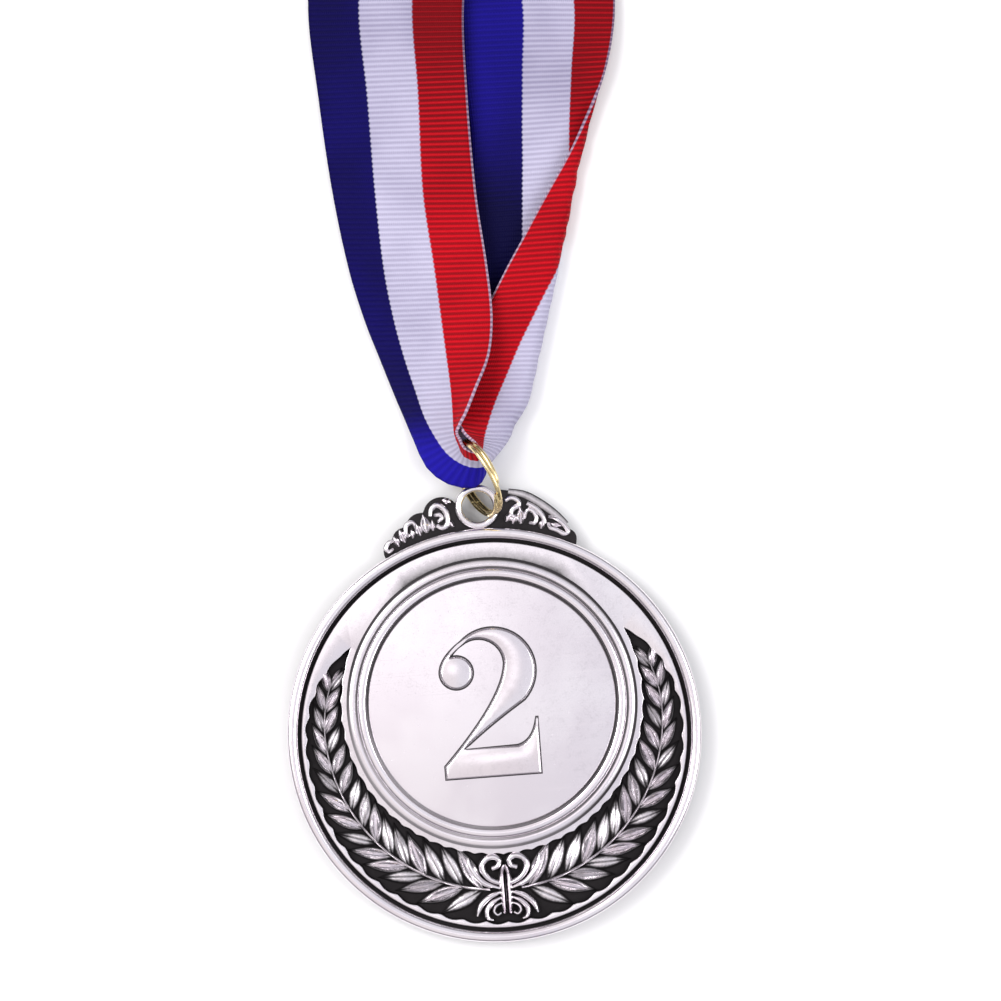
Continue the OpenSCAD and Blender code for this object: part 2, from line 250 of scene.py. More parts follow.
def link_piece(name, bm, material):
    """Puts the mesh into the scene as a smooth object in metres."""
    bmesh.ops.scale(bm, vec=(MM, MM, MM), verts=bm.verts)
    mesh = bpy.data.meshes.new(name)
    bm.to_mesh(mesh)
    bm.free()
    for face in mesh.polygons:
        face.use_smooth = True
    mesh.materials.append(material)
    piece = bpy.data.objects.new(name, mesh)
    bpy.context.scene.collection.objects.link(piece)
    return piece


def finish_piece(name, bm, material, body, slot_name, node, smooth=32, mirrored=False):
    if mirrored:
        bmesh.ops.transform(bm, matrix=Matrix.Diagonal((-1, 1, 1, 1)), verts=bm.verts)
    bmesh.ops.remove_doubles(bm, verts=bm.verts, dist=1e-4)
    bmesh.ops.recalc_face_normals(bm, faces=bm.faces)
    piece = link_piece(name, bm, material)
    piece.data.set_sharp_from_angle(angle=math.radians(smooth))
    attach(piece, body)
    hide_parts(node)
    return piece


def cast(name, bm, silver, node, slot_name="polished_silver", **more):
    """Finishes one piece of the medal's casting."""
    finish_piece("medal_" + name, bm, silver, "medal", slot_name, node, **more)


# ---------- shader groups ----------


def new_group(name, inputs, outputs):
    """A shader node group with named number inputs and the given outputs."""
    group = bpy.data.node_groups.new(name, "ShaderNodeTree")
    for label, value in inputs:
        socket = group.interface.new_socket(label, in_out="INPUT", socket_type="NodeSocketFloat")
        socket.default_value = value
    for label, kind in outputs:
        group.interface.new_socket(label, in_out="OUTPUT", socket_type=kind)
    return group


class Wiring:
    """Short calls that add and join nodes in one tree."""

    def __init__(self, tree):
        self.tree = tree

    def node(self, kind, **settings):
        made = self.tree.nodes.new(kind)
        for key, value in settings.items():
            setattr(made, key, value)
        return made

    def join(self, source, target):
        self.tree.links.new(source, target)

    def put(self, value, target):
        if hasattr(value, "is_linked"):
            self.join(value, target)
        elif target.type == "RGBA":
            target.default_value = (*value, 1)
        else:
            target.default_value = value

    def math(self, operation, a, b=0.0, clamp=False):
        made = self.node("ShaderNodeMath", operation=operation, use_clamp=clamp)
        self.put(a, made.inputs[0])
        self.put(b, made.inputs[1])
        return made.outputs[0]

    def plus(self, a, b, clamp=False):
        return self.math("ADD", a, b, clamp)

    def minus(self, a, b, clamp=False):
        return self.math("SUBTRACT", a, b, clamp)

    def times(self, a, b):
        return self.math("MULTIPLY", a, b)

    def spread(self, value, low_in, high_in, low_out=0.0, high_out=1.0):
        made = self.node("ShaderNodeMapRange", clamp=True, interpolation_type="SMOOTHSTEP")
        for socket, given in zip(made.inputs, (value, low_in, high_in, low_out, high_out)):
            self.put(given, socket)
        return made.outputs[0]

    def noise(self, vector, scale, detail=3.0, roughness=0.55):
        made = self.node("ShaderNodeTexNoise")
        self.put(vector, made.inputs["Vector"])
        made.inputs["Scale"].default_value = scale
        made.inputs["Detail"].default_value = detail
        made.inputs["Roughness"].default_value = roughness
        return made.outputs["Fac"]

    def mix(self, share, one, two, blend="MIX"):
        made = self.node("ShaderNodeMix", data_type="RGBA", blend_type=blend)
        self.put(share, made.inputs[0])
        self.put(one, made.inputs[6])
        self.put(two, made.inputs[7])
        return made.outputs[2]

    def place(self):
        return self.node("ShaderNodeTexCoord").outputs["Object"]

    def split(self, vector):
        made = self.node("ShaderNodeSeparateXYZ")
        self.join(vector, made.inputs[0])
        return made.outputs

    def bump(self, height, strength, distance):
        made = self.node("ShaderNodeBump")
        made.inputs["Strength"].default_value = strength
        made.inputs["Distance"].default_value = distance
        self.join(height, made.inputs["Height"])
        return made.outputs["Normal"]

    def group(self, tree, values):
        made = self.node("ShaderNodeGroup")
        made.node_tree = tree
        for label, value in values.items():
            self.put(value, made.inputs[label])
        return made.outputs


def relief_patina():
    """Mask of the blackening left in recesses: 0 at the low height and 1 at the high one."""
    group = new_group(
        "relief_patina",
        [("Low", 0.0), ("High", 0.001), ("Break up", 0.35), ("Lower side lift", 0.0)],
        [("Bright", "NodeSocketFloat")],
    )
    w = Wiring(group)
    given = w.node("NodeGroupInput").outputs
    place = w.place()
    spot = w.split(place)
    share = w.spread(spot["Z"], given["Low"], given["High"])
    cloudy = w.minus(w.noise(place, 900.0), 0.5)
    fine = w.minus(w.noise(place, 3500.0), 0.5)
    broken = w.times(w.plus(cloudy, fine), given["Break up"])
    broken = w.times(broken, w.spread(share, 0.0, 0.3, 0.06, 1.0))
    out = w.node("NodeGroupOutput")
    # Lower side lift: the patina gives way to bright plate towards the lower side of the medal, a little to
    # the left, with a wavering border; the input sets how much.
    side = w.plus(w.times(spot["X"], 0.55), spot["Y"])
    drift = w.times(w.minus(w.noise(place, 45.0), 0.5), 0.03)
    side = w.plus(side, drift)
    lower_side_lift = w.times(w.spread(side, 0.006, -0.022), given["Lower side lift"])
    w.join(w.plus(w.plus(share, broken), lower_side_lift, clamp=True), out.inputs["Bright"])
    return group


def plate_wear():
    """Hairlines, faint waves and pin pits of a cast and plated surface."""
    group = new_group(
        "plate_wear",
        [("Hairlines", 0.3), ("Waves", 0.5)],
        [("Height", "NodeSocketFloat"), ("Scuff", "NodeSocketFloat"), ("Tone", "NodeSocketFloat")],
    )
    w = Wiring(group)
    given = w.node("NodeGroupInput").outputs
    place = w.place()
    long_way = w.node("ShaderNodeMapping")
    w.join(place, long_way.inputs["Vector"])
    long_way.inputs["Rotation"].default_value = (0, 0, 0.6)
    long_way.inputs["Scale"].default_value = (40, 2600, 400)
    lines = w.spread(w.noise(long_way.outputs[0], 1.0, 2.0), 0.62, 0.72)
    waves = w.noise(place, 130.0, 2.0, 0.4)
    pits = w.spread(w.noise(place, 2400.0, 1.0), 0.7, 0.8)
    height = w.times(waves, given["Waves"])
    height = w.minus(height, w.times(pits, 0.12))
    height = w.minus(height, w.times(lines, w.times(given["Hairlines"], 0.03)))
    out = w.node("NodeGroupOutput")
    w.join(height, out.inputs["Height"])
    scuff = w.math("MAXIMUM", w.times(lines, given["Hairlines"]), w.times(pits, 0.5))
    w.join(scuff, out.inputs["Scuff"])
    w.join(w.noise(place, 60.0, 3.0), out.inputs["Tone"])
    return group


def group_named(maker):
    """The shader group, made on first use."""
    return bpy.data.node_groups.get(maker.__name__) or maker()


# ---------- materials ----------


def new_material(name, **settings):
    """A material with its Principled shader's own values set, and the wiring to add to it."""
    material = bpy.data.materials.new(name)
    material.use_nodes = True
    shader = material.node_tree.nodes["Principled BSDF"]
    for label, value in settings.items():
        shader.inputs[label.replace("_", " ")].default_value = value
    return material, shader, Wiring(material.node_tree)


def silver_plate(name, floor, top, tarnish, hairlines=0.3, waves=0.5, break_up=0.3, lower_side_lift=0.0):
    """Silver plate whose low places keep a blackened patina."""
    finish = bpy.context.scene.medal_finish
    material, shader, w = new_material(name)
    patina = w.group(
        group_named(relief_patina),
        {"Low": floor * MM, "High": top * MM, "Break up": break_up, "Lower side lift": lower_side_lift},
    )
    wear = w.group(group_named(plate_wear), {"Hairlines": hairlines, "Waves": waves})
    blackened = w.times(w.minus(1.0, patina["Bright"]), tarnish)
    bright = w.minus(1.0, blackened, clamp=True)
    pale = w.mix(w.spread(wear["Tone"], 0.35, 0.65), finish.silver, finish.silver_shade)
    w.join(w.mix(bright, finish.patina, pale), shader.inputs["Base Color"])
    w.join(w.spread(bright, 0.0, 1.0, 0.9, 1.0), shader.inputs["Metallic"])
    rough = w.spread(bright, 0.0, 1.0, 0.7, 0.2)
    w.join(w.plus(rough, w.times(wear["Scuff"], 0.2)), shader.inputs["Roughness"])
    w.join(w.bump(wear["Height"], 0.5, 0.0001), shader.inputs["Normal"])
    return material


def gilt_wire():
    """Pale gilt wire, darker where it is worn."""
    finish = bpy.context.scene.medal_finish
    material, shader, w = new_material("gilt_wire", Metallic=1.0)
    wear = w.group(group_named(plate_wear), {"Hairlines": 0.8, "Waves": 0.8})
    tone = w.spread(wear["Tone"], 0.3, 0.7)
    w.join(w.mix(tone, finish.gilt, finish.gilt_shade), shader.inputs["Base Color"])
    w.join(w.plus(0.2, w.times(wear["Scuff"], 0.25)), shader.inputs["Roughness"])
    w.join(w.bump(wear["Height"], 0.4, 0.0001), shader.inputs["Normal"])
    return material


THREADS_ACROSS = 70
STRIPE_BLUR = 0.006


def woven_stripes():
    """Ribbed weave in three stripes, with painted sheen on the blue and painted shade in the rib valleys, in
    random patches, towards the top and in the V under the turned-back strand. The ribbon's own map gives x
    across and y along, in ribbon widths.
    """
    finish = bpy.context.scene.medal_finish
    material, shader, w = new_material("woven_stripes", Roughness=0.62)
    shader.inputs["Sheen Weight"].default_value = 0.02
    shader.inputs["Sheen Roughness"].default_value = 0.4
    shader.inputs["Specular IOR Level"].default_value = 0.1
    spot = w.node("ShaderNodeUVMap", uv_map="weave").outputs["UV"]
    parts = w.split(spot)
    across, along = parts["X"], parts["Y"]
    rib = w.math("SINE", w.times(along, 2 * math.pi * finish.ribs_across))
    rib = w.plus(w.times(rib, 0.5), 0.5)
    threads = w.math("SINE", w.times(across, 2 * math.pi * THREADS_ACROSS))
    threads = w.plus(w.times(threads, 0.5), 0.5)
    ragged = w.times(w.minus(rib, 0.5), 0.006)
    edge = w.plus(across, ragged)
    first = w.spread(edge, 1 / 3 - STRIPE_BLUR, 1 / 3 + STRIPE_BLUR)
    second = w.spread(edge, 2 / 3 - STRIPE_BLUR, 2 / 3 + STRIPE_BLUR)
    place = w.place()
    parts = w.split(place)
    x, y = parts["X"], parts["Y"]
    # Painted sheen: the blue is brightened where the stripe would catch the light, near the ring, on the
    # upper right strand and in random patches.
    sheen_near_ring = w.spread(y, 0.052, 0.044)
    sheen_upper_right = w.times(w.spread(x, 0.001, 0.006), w.spread(y, 0.086, 0.108, 0.0, 0.6))
    sheen_patches = w.spread(w.noise(place, 40.0, 2.0), 0.35, 0.7, 0.0, 0.16)
    painted_sheen = w.plus(w.math("MAXIMUM", sheen_near_ring, sheen_upper_right), sheen_patches, clamp=True)
    blue = w.mix(painted_sheen, finish.ribbon_blue, finish.ribbon_royal)
    colour = w.mix(first, blue, finish.ribbon_white)
    colour = w.mix(second, colour, finish.ribbon_red)
    selvedge = w.spread(across, 0.985, 0.992)
    colour = w.mix(w.times(selvedge, 0.75), colour, finish.ribbon_white)
    # Painted shade in random patches across the ribbon.
    shade_patches = w.spread(w.noise(place, 55.0, 2.0), 0.4, 0.7, 0.0, 0.22)
    # Painted shade in the rib valleys, stronger on the red stripe.
    strength = w.plus(0.32, w.times(second, 0.4))
    rib_valley_shade = w.times(w.minus(1.0, rib), strength)
    # Painted shade: the ribbon is darker towards the top, most on the red stripe.
    upper = w.times(w.spread(y, 0.084, 0.112), w.plus(0.16, w.times(second, 0.36)))
    # Painted shadow: the blue and white darken to near black in the V under the turned-back strand.
    distance_to_v = w.node("ShaderNodeVectorMath", operation="DISTANCE")
    w.join(place, distance_to_v.inputs[0])
    distance_to_v.inputs[1].default_value = (0.0055, 0.076, 0.0006)
    v_shadow = w.times(w.spread(distance_to_v.outputs["Value"], 0.016, 0.003), w.minus(1.0, first))
    shade = w.plus(w.plus(w.plus(rib_valley_shade, shade_patches), upper), v_shadow)
    colour = w.mix(w.math("MINIMUM", shade, 0.95), colour, (0.22, 0.2, 0.3), "MULTIPLY")
    w.join(colour, shader.inputs["Base Color"])
    height = w.plus(rib, w.times(threads, 0.25))
    height = w.plus(height, w.times(w.noise(spot, 160.0), 0.3))
    w.join(w.bump(height, 0.75, 0.0002), shader.inputs["Normal"])
    return material


def sewing_thread():
    """Twisted white thread."""
    finish = bpy.context.scene.medal_finish
    material, shader, w = new_material("sewing_thread", Roughness=0.5)
    place = w.place()
    twist = w.node("ShaderNodeTexWave")
    twist.inputs["Scale"].default_value = 900.0
    w.join(place, twist.inputs["Vector"])
    colour = w.mix(w.times(twist.outputs["Fac"], 0.4), finish.ribbon_white, (0.55, 0.53, 0.6))
    w.join(colour, shader.inputs["Base Color"])
    w.join(w.bump(twist.outputs["Fac"], 0.5, 0.0001), shader.inputs["Normal"])
    return material


def band_paper():
    """Uncoated paper with pulp and fibres."""
    finish = bpy.context.scene.medal_finish
    material, shader, w = new_material("band_paper", Roughness=0.85)
    place = w.place()
    pulp = w.noise(place, 320.0, 6.0, 0.65)
    fibre_way = w.node("ShaderNodeMapping")
    fibre_way.inputs["Scale"].default_value = (300, 2200, 900)
    w.join(place, fibre_way.inputs["Vector"])
    fibres = w.spread(w.noise(fibre_way.outputs[0], 1.0, 4.0), 0.6, 0.75)
    tone = w.mix(w.spread(pulp, 0.35, 0.7), finish.paper, finish.paper_shade)
    w.join(w.mix(w.times(fibres, 0.35), tone, (0.55, 0.5, 0.42)), shader.inputs["Base Color"])
    w.join(w.bump(w.plus(pulp, w.times(fibres, 0.5)), 0.35, 0.00012), shader.inputs["Normal"])
    return material


# ---------- settings ----------


def colour_setting(name, description, value):
    return bpy.props.FloatVectorProperty(
        name=name, description=description, default=value, size=3, min=0, max=1, subtype="COLOR"
    )


class MedalSizes(bpy.types.PropertyGroup):
    leaf_pairs: bpy.props.IntProperty(
        name="Leaf pairs", description="Pairs of leaves on each branch", default=15, min=8, max=18
    )
    branch_angle: bpy.props.FloatProperty(
        name="Branch angle",
        description="Angle from the bow to the tip of a branch",
        default=math.radians(126),
        subtype="ANGLE",
    )
    wire_r: bpy.props.FloatProperty(
        name="Wire radius", description="Radius of the ring's wire in millimetres", default=0.39
    )
    numeral_up: bpy.props.FloatProperty(
        name="Figure height", description="Height of the figure above its field in millimetres", default=0.5
    )


class RibbonSizes(bpy.types.PropertyGroup):
    width: bpy.props.FloatProperty(
        name="Ribbon width", description="Width of the ribbon in millimetres", default=25.0
    )
    thickness: bpy.props.FloatProperty(
        name="Ribbon thickness", description="Thickness of the cloth in millimetres", default=0.45
    )
    length: bpy.props.FloatProperty(
        name="Ribbon length", description="Cut length of the ribbon in millimetres", default=870.0
    )
    columns: bpy.props.IntProperty(
        name="Columns", description="Faces across the ribbon", default=24, min=12, max=36
    )


class MedalFinish(bpy.types.PropertyGroup):
    silver: colour_setting("Silver", "Colour of the bright plate", (0.88, 0.84, 0.87))
    silver_shade: colour_setting("Silver shade", "Duller tone of the plate", (0.8, 0.75, 0.79))
    patina: colour_setting("Patina", "Colour of the blackened recesses", (0.012, 0.010, 0.011))
    gilt: colour_setting("Gilt", "Colour of the wire", (0.8, 0.66, 0.36))
    gilt_shade: colour_setting("Gilt shade", "Duller tone of the wire", (0.55, 0.4, 0.16))
    ribbon_blue: colour_setting("Blue", "Blue stripe", (0.003, 0.0008, 0.075))
    # Painted sheen: the brighter blue painted where the blue stripe would catch the light.
    ribbon_royal: colour_setting("Blue sheen", "Blue stripe where the weave shines", (0.012, 0.006, 0.34))
    ribbon_white: colour_setting("White", "White stripe", (0.55, 0.525, 0.68))
    ribbon_red: colour_setting("Red", "Red stripe", (0.56, 0.003, 0.011))
    paper: colour_setting("Paper", "Colour of the band", (0.66, 0.61, 0.51))
    paper_shade: colour_setting("Paper shade", "Darker pulp in the band", (0.54, 0.49, 0.39))
    ribs_across: bpy.props.FloatProperty(
        name="Ribs", description="Ribs of the weave in one ribbon width", default=31.0
    )


# ---------- the cast medal ----------

SINK_TIP_START = math.radians(92)
SINK_INNER_GAP = 0.8
SINK_RIM_GAP = 1.3


def sink_in(t):
    """Radius of the crescent's inner edge, t round from the bow."""
    inner = FRAME_R + SINK_INNER_GAP
    return -FRAME_Y * math.cos(t) + math.sqrt(inner**2 - (FRAME_Y * math.sin(t)) ** 2)


def sink_out(t):
    """Radius of the crescent's outer edge, t round from the bow."""
    end = bpy.context.scene.medal_sizes.branch_angle
    share = max(0.0, (t - SINK_TIP_START) / (end - SINK_TIP_START))
    outer = FIELD_R - SINK_RIM_GAP
    return outer - (outer - sink_in(end) - 0.4) * share**2


def stem_r(t):
    """Radius of the branch's stem."""
    return sink_in(t) * 0.48 + sink_out(t) * 0.52


def on_branch(t, r):
    """A point t round from the bow towards the right-hand tip."""
    return (r * math.sin(t), -r * math.cos(t))


def leaf_angles():
    """Where the pairs of leaves stand on the branch."""
    sizes = bpy.context.scene.medal_sizes
    first, last = math.radians(9), sizes.branch_angle - math.radians(17)
    return [first + (last - first) * i / (sizes.leaf_pairs - 1) for i in range(sizes.leaf_pairs)]


def crescent():
    """Outline of the sunk crescent, scalloped where the leaves' tips reach its edges."""
    end = bpy.context.scene.medal_sizes.branch_angle
    steps = 220
    turns = [-end + 2 * end * i / steps for i in range(steps + 1)]
    pitch = leaf_angles()[1] - leaf_angles()[0]

    def wave(t):
        return abs(math.sin(math.pi * (abs(t) - 0.12) / pitch))

    def fade(t):
        return min(1.0, (end - abs(t)) / 0.25)

    out = [on_branch(t, sink_out(abs(t)) + 0.45 * wave(t) * fade(t) - 0.2) for t in turns]
    back = [on_branch(t, sink_in(abs(t)) - 0.3 * wave(t) * fade(t) + 0.15) for t in reversed(turns)]
    return out + back


def disc_mesh():
    """The cast blank: back pad, edge, groove, polished field and the sunk crescent."""
    bm = bmesh.new()
    top_r = FIELD_R - 0.58
    profile = [
        (27.7, 0.06),
        (28, 0.12),
        (28.1, 0.4),
        (FIELD_R, 0.4),
        (FIELD_R, FIELD_H - 0.55),
        (FIELD_R - 0.1, FIELD_H - 0.6),
        (top_r + 0.08, FIELD_H - 0.58),
        (top_r, FIELD_H - 0.45),
        (top_r - 0.02, FIELD_H - 0.14),
        (top_r - 0.14, FIELD_H - 0.02),
        (top_r - 0.3, FIELD_H),
    ]
    lathe(bm, [(0.001, 0), (27.5, 0)] + profile)
    rim = [e for e in bm.edges if e.is_boundary]
    loops = terrace(
        bm,
        crescent(),
        [
            (0, FIELD_H),
            (0.06, FIELD_H - 0.02),
            (0.12, FIELD_H - 0.1),
            (0.2, SINK_FLOOR + 0.15),
            (0.32, SINK_FLOOR),
        ],
    )
    bmesh.ops.triangle_fill(bm, use_beauty=True, edges=rim + loops[0])
    return bm


class MEDAL_OT_disc(bpy.types.Operator):
    """Makes the cast blank with its sunk crescent"""

    bl_idname = "medal.disc"
    bl_label = "Disc"

    def execute(self, context):
        silver = silver_plate("disc_plate", FIELD_H - 0.3, FIELD_H - 0.02, 0.99, waves=0.6)
        cast("disc", disc_mesh(), silver, "disc_blank")
        return {"FINISHED"}


class MEDAL_OT_rim(bpy.types.Operator):
    """Makes the raised bead round the edge"""

    bl_idname = "medal.rim"
    bl_label = "Rim"

    def execute(self, context):
        bm = bmesh.new()
        half = (DISC_R - FIELD_R) / 2
        crown = [
            (FIELD_R + half + half * math.cos(a), RIM_H - half * 0.75 + half * 0.75 * math.sin(a))
            for a in [math.pi * (1 - i / 12) for i in range(13)]
        ]
        foot = [(DISC_R, 0.5), (DISC_R - 0.12, 0.12), (DISC_R - 0.5, 0), (FIELD_R, 0)]
        lathe(bm, [(FIELD_R, 0)] + crown + foot, steps=256)
        silver = silver_plate("rim_plate", FIELD_H - 0.2, FIELD_H + 0.45, 0.97, waves=0.3, lower_side_lift=0.3)
        cast("rim", bm, silver, "outer_rim")
        return {"FINISHED"}


class MEDAL_OT_number_frame(bpy.types.Operator):
    """Makes the stepped frame round the figure and the field inside it"""

    bl_idname = "medal.number_frame"
    bl_label = "Number frame"

    def execute(self, context):
        bm = bmesh.new()
        step = FRAME_R - 1.5
        low_top = FIELD_H + 0.4
        lathe(
            bm,
            [
                (NUMBER_R - 0.12, FIELD_H - 0.1),
                (NUMBER_R - 0.1, FIELD_H + 0.08),
                (NUMBER_R + 0.08, FIELD_H + 0.2),
                (NUMBER_R + 0.26, FRAME_TOP - 0.08),
                (NUMBER_R + 0.45, FRAME_TOP),
                (step - 0.75, FRAME_TOP),
                (step - 0.5, FRAME_TOP - 0.05),
                (step - 0.22, low_top),
                (step - 0.08, low_top - 0.24),
                (step + 0.1, low_top - 0.22),
                (step + 0.24, low_top - 0.03),
                (step + 0.4, low_top),
                (FRAME_R - 0.9, low_top),
                (FRAME_R - 0.6, low_top - 0.06),
                (FRAME_R - 0.15, FIELD_H + 0.06),
                (FRAME_R + 0.1, FIELD_H - 0.1),
                (NUMBER_R - 0.12, FIELD_H - 0.1),
            ],
            axis=(0, FRAME_Y),
        )
        silver = silver_plate(
            "frame_plate", FIELD_H + 0.12, FIELD_H + 0.38, 0.95, waves=0.3, break_up=0.25, lower_side_lift=0.35
        )
        cast("number_frame", bm, silver, "number_frame")
        bm = bmesh.new()
        lathe(
            bm,
            [
                (0.001, FIELD_H - 0.1),
                (NUMBER_R - 0.02, FIELD_H - 0.1),
                (NUMBER_R - 0.02, NUMBER_TOP - 0.2),
                (NUMBER_R - 0.22, NUMBER_TOP - 0.2),
                (NUMBER_R - 0.42, NUMBER_TOP - 0.03),
                (NUMBER_R - 0.8, NUMBER_TOP),
                (0.001, NUMBER_TOP),
            ],
            axis=(0, FRAME_Y),
        )
        silver = silver_plate("field_plate", FIELD_H + 0.06, NUMBER_TOP - 0.03, 0.93, waves=0.35, lower_side_lift=0.3)
        cast("number_field", bm, silver, "number_field")
        return {"FINISHED"}


def figure_outline():
    """The figure 2 about the middle of its field, with a round terminal."""
    path = round_path(0.45, 5.1, 6.8, 134, -46, 26)
    path += bent_path((5.2, 0.2), (-0.6, -3.4), (-4.8, -6.9), 10)
    path += bent_path((2.8, -6.9), (6, -6.8), (6.7, -2.6), 8)
    path += [(7, -2.6), (7, -11.5), (-8.1, -11.5), (-8.1, -9.4)]
    path += bent_path((-8.1, -9.4), (1.9, 0.8), (2.3, 6.2), 12)
    path += round_path(-1.7, 6.2, 4, 12, 125, 14)
    path += bent_path((-4, 9.5), (-5.2, 8.8), (-6, 7.6), 5)
    path += round_path(-5.25, 5.15, 2.65, 104, -190, 28)
    path += bent_path((-7.86, 5.6), (-7.5, 7.8), (-4.4, 9.9), 6)
    return [(x, y + FRAME_Y) for x, y in path]


class MEDAL_OT_figure(bpy.types.Operator):
    """Makes the raised figure 2"""

    bl_idname = "medal.figure"
    bl_label = "Figure"

    def execute(self, context):
        up = context.scene.medal_sizes.numeral_up
        bm = bmesh.new()
        loops = terrace(
            bm,
            figure_outline(),
            [
                (-0.18, NUMBER_TOP - 0.1),
                (-0.16, NUMBER_TOP + 0.02),
                (0.06, NUMBER_TOP + up * 0.24),
                (0.2, NUMBER_TOP + up * 0.6),
                (0.34, NUMBER_TOP + up * 0.9),
                (0.5, NUMBER_TOP + up),
            ],
        )
        bmesh.ops.triangle_fill(bm, use_beauty=True, edges=loops[0])
        floor, top = NUMBER_TOP + 0.08, NUMBER_TOP + 0.34
        silver = silver_plate("figure_plate", floor, top, 0.93, waves=0.3, break_up=0.25)
        cast("figure_two", bm, silver, "number_two")
        return {"FINISHED"}


LEAF_SECTION = [
    (-1, 0), (-0.66, 0.6), (-0.3, 1), (-0.08, 0.78), (0, 0.66),
    (0.08, 0.78), (0.3, 1), (0.66, 0.6), (1, 0), (0, -0.3),
]


def leaf(bm, root, turn, long, wide, up, curl=0.0):
    """A pointed leaf with a grooved back, from its root along the turned direction."""
    stations = []
    steps = 9
    place = Vector(root)
    for i in range(steps + 1):
        t = i / steps
        swell = max(0.04, math.sin(math.pi * min(1, 0.1 + 0.9 * t) ** 0.85))
        bend = turn + curl * t
        ahead = Vector((math.cos(bend), math.sin(bend), 0))
        if i:
            place = place + ahead * long / steps
        lift = Vector((0, 0, up * 0.3 * math.sin(math.pi * t)))
        stations.append(station(place + lift, ahead, (0, 0, 1), wide / 2 * swell, up * (0.3 + 0.7 * swell)))
    sweep(bm, LEAF_SECTION, stations)


def branch(bm):
    """One branch: a stem, leaves in pairs that shorten and close up, and a leaf at the tip."""
    sizes = bpy.context.scene.medal_sizes
    turns = leaf_angles()
    pitch = turns[1] - turns[0]
    for i, t in enumerate(turns):
        share = i / (len(turns) - 1)
        for inward in (True, False):
            splay = math.radians(46 - 24 * share if inward else 36 - 14 * share)
            room = stem_r(t) - sink_in(t) if inward else sink_out(t) - stem_r(t)
            reach = room / (math.sin(splay) + (-0.06 if inward else 0.1))
            long = max(3.6, min(8.2 - 3.4 * share, reach))
            wide = (2.65 if inward else 2.5) - 0.75 * share
            x, y = on_branch(t, stem_r(t) - 0.1 * (1 if inward else -1))
            sway = 0.09 * math.sin(7.0 * i + (2.0 if inward else 0.0))
            up = 0.74 + 0.16 * math.sin(4.3 * i + (1.2 if inward else 3.9))
            turn = t + splay + sway if inward else t - splay + sway
            leaf(bm, (x, y, SINK_FLOOR - 0.05), turn, long, wide, up, curl=0.12 if inward else 0.02)
    end = turns[-1] + pitch * 0.4
    x, y = on_branch(end, stem_r(end))
    leaf(bm, (x, y, SINK_FLOOR), end + 0.12, 3.0, 0.8, 0.6, curl=0.3)
    first = math.radians(6)
    turns = [first + (end - first) * i / 40 for i in range(41)]
    stem = [on_branch(t, stem_r(t)) for t in turns]
    widths = [0.5 - 0.25 * i / 40 for i in range(41)]
    ridge(bm, stem, widths, widths, SINK_FLOOR + 0.35, circle(8))


class MEDAL_OT_wreath(bpy.types.Operator):
    """Makes the two laurel branches"""

    bl_idname = "medal.wreath"
    bl_label = "Wreath"

    def execute(self, context):
        silver = silver_plate("wreath_plate", SINK_FLOOR + 0.32, SINK_FLOOR + 0.8, 0.99, 0.5, 0.5, 0.8)
        for name, mirrored in (("wreath_right", False), ("wreath_left", True)):
            bm = bmesh.new()
            branch(bm)
            cast(name, bm, silver, name, "antique_silver", smooth=60, mirrored=mirrored)
        return {"FINISHED"}


# Cords of the bow's right half from the knot outwards: points, widths in the middle and at the ends, lift
BOW_CORDS = (
    (
        (
            (0.8, 0.5), (2.3, 1.2), (3.3, 2.4), (3.5, 3.6), (2.7, 4.5),
            (1.6, 4.7), (0.8, 4.1), (1.1, 3.2), (2.0, 2.9),
        ),
        1.2, 0.85, 0.2,
    ),
    (((0.9, -0.3), (3.2, 0.6), (4.6, 2.0), (5.4, 3.6), (5.6, 4.8)), 1.15, 0.6, 0.15),
    (((0.9, -0.9), (2.6, -1.5), (4.1, -2.8), (4.8, -4.4)), 1.1, 0.6, 0.15),
    (((0.8, -1.7), (2.2, -2.4), (3.2, -3.6), (3.1, -4.8), (2.3, -5.2)), 1.0, 0.6, 0.15),
    (((0.8, -2.6), (1.7, -3.0), (2.1, -3.8), (1.6, -4.4), (1.0, -4.1)), 0.75, 0.5, 0.15),
)


def taper(count, wide, narrow):
    """Widths that swell in the middle and thin to the ends."""
    return [narrow + (wide - narrow) * math.sin(math.pi * i / (count - 1)) for i in range(count)]


class MEDAL_OT_bow(bpy.types.Operator):
    """Makes the bow that ties the branches"""

    bl_idname = "medal.bow"
    bl_label = "Bow"

    def execute(self, context):
        bm = bmesh.new()
        mid = -(sink_in(0) + sink_out(0)) / 2 + 0.3
        for side in (-1, 1):
            for points, wide, narrow, floor in BOW_CORDS:
                path = through([(side * x, mid + y) for x, y in points])
                widths = taper(len(path), wide, narrow)
                ridge(bm, path, widths, [0.6 + 0.5 * w for w in widths], SINK_FLOOR + floor, circle(10))
            knot = ((0.5, -4.3), (0.62, -1), (0.6, 1.8), (0.02, 3.3))
            path = through([(side * x, mid + y) for x, y in knot])
            ridge(bm, path, taper(len(path), 0.85, 0.55), [1.1] * len(path), SINK_FLOOR + 0.3, circle(8))
        path = [(0, mid - 4.2 + 6 * i / 10) for i in range(11)]
        ridge(bm, path, taper(len(path), 0.3, 0.16), [0.75] * len(path), SINK_FLOOR + 0.2, circle(8))
        silver = silver_plate("bow_plate", SINK_FLOOR + 0.45, SINK_FLOOR + 0.85, 0.98, 0.4, 0.4, 0.3)
        cast("bow", bm, silver, "wreath_bow", "antique_silver", smooth=60)
        return {"FINISHED"}


# ---------- the lug ----------

LUG_SPAN = 28.5
HOLE_R = EYELET_R - 0.9
LUG_LOBES = [(24.5, 0.3, 1.6), (20.3, 1.0, 2.1), (15.2, 1.7, 2.6), (9.3, 2.9, 2.9)]


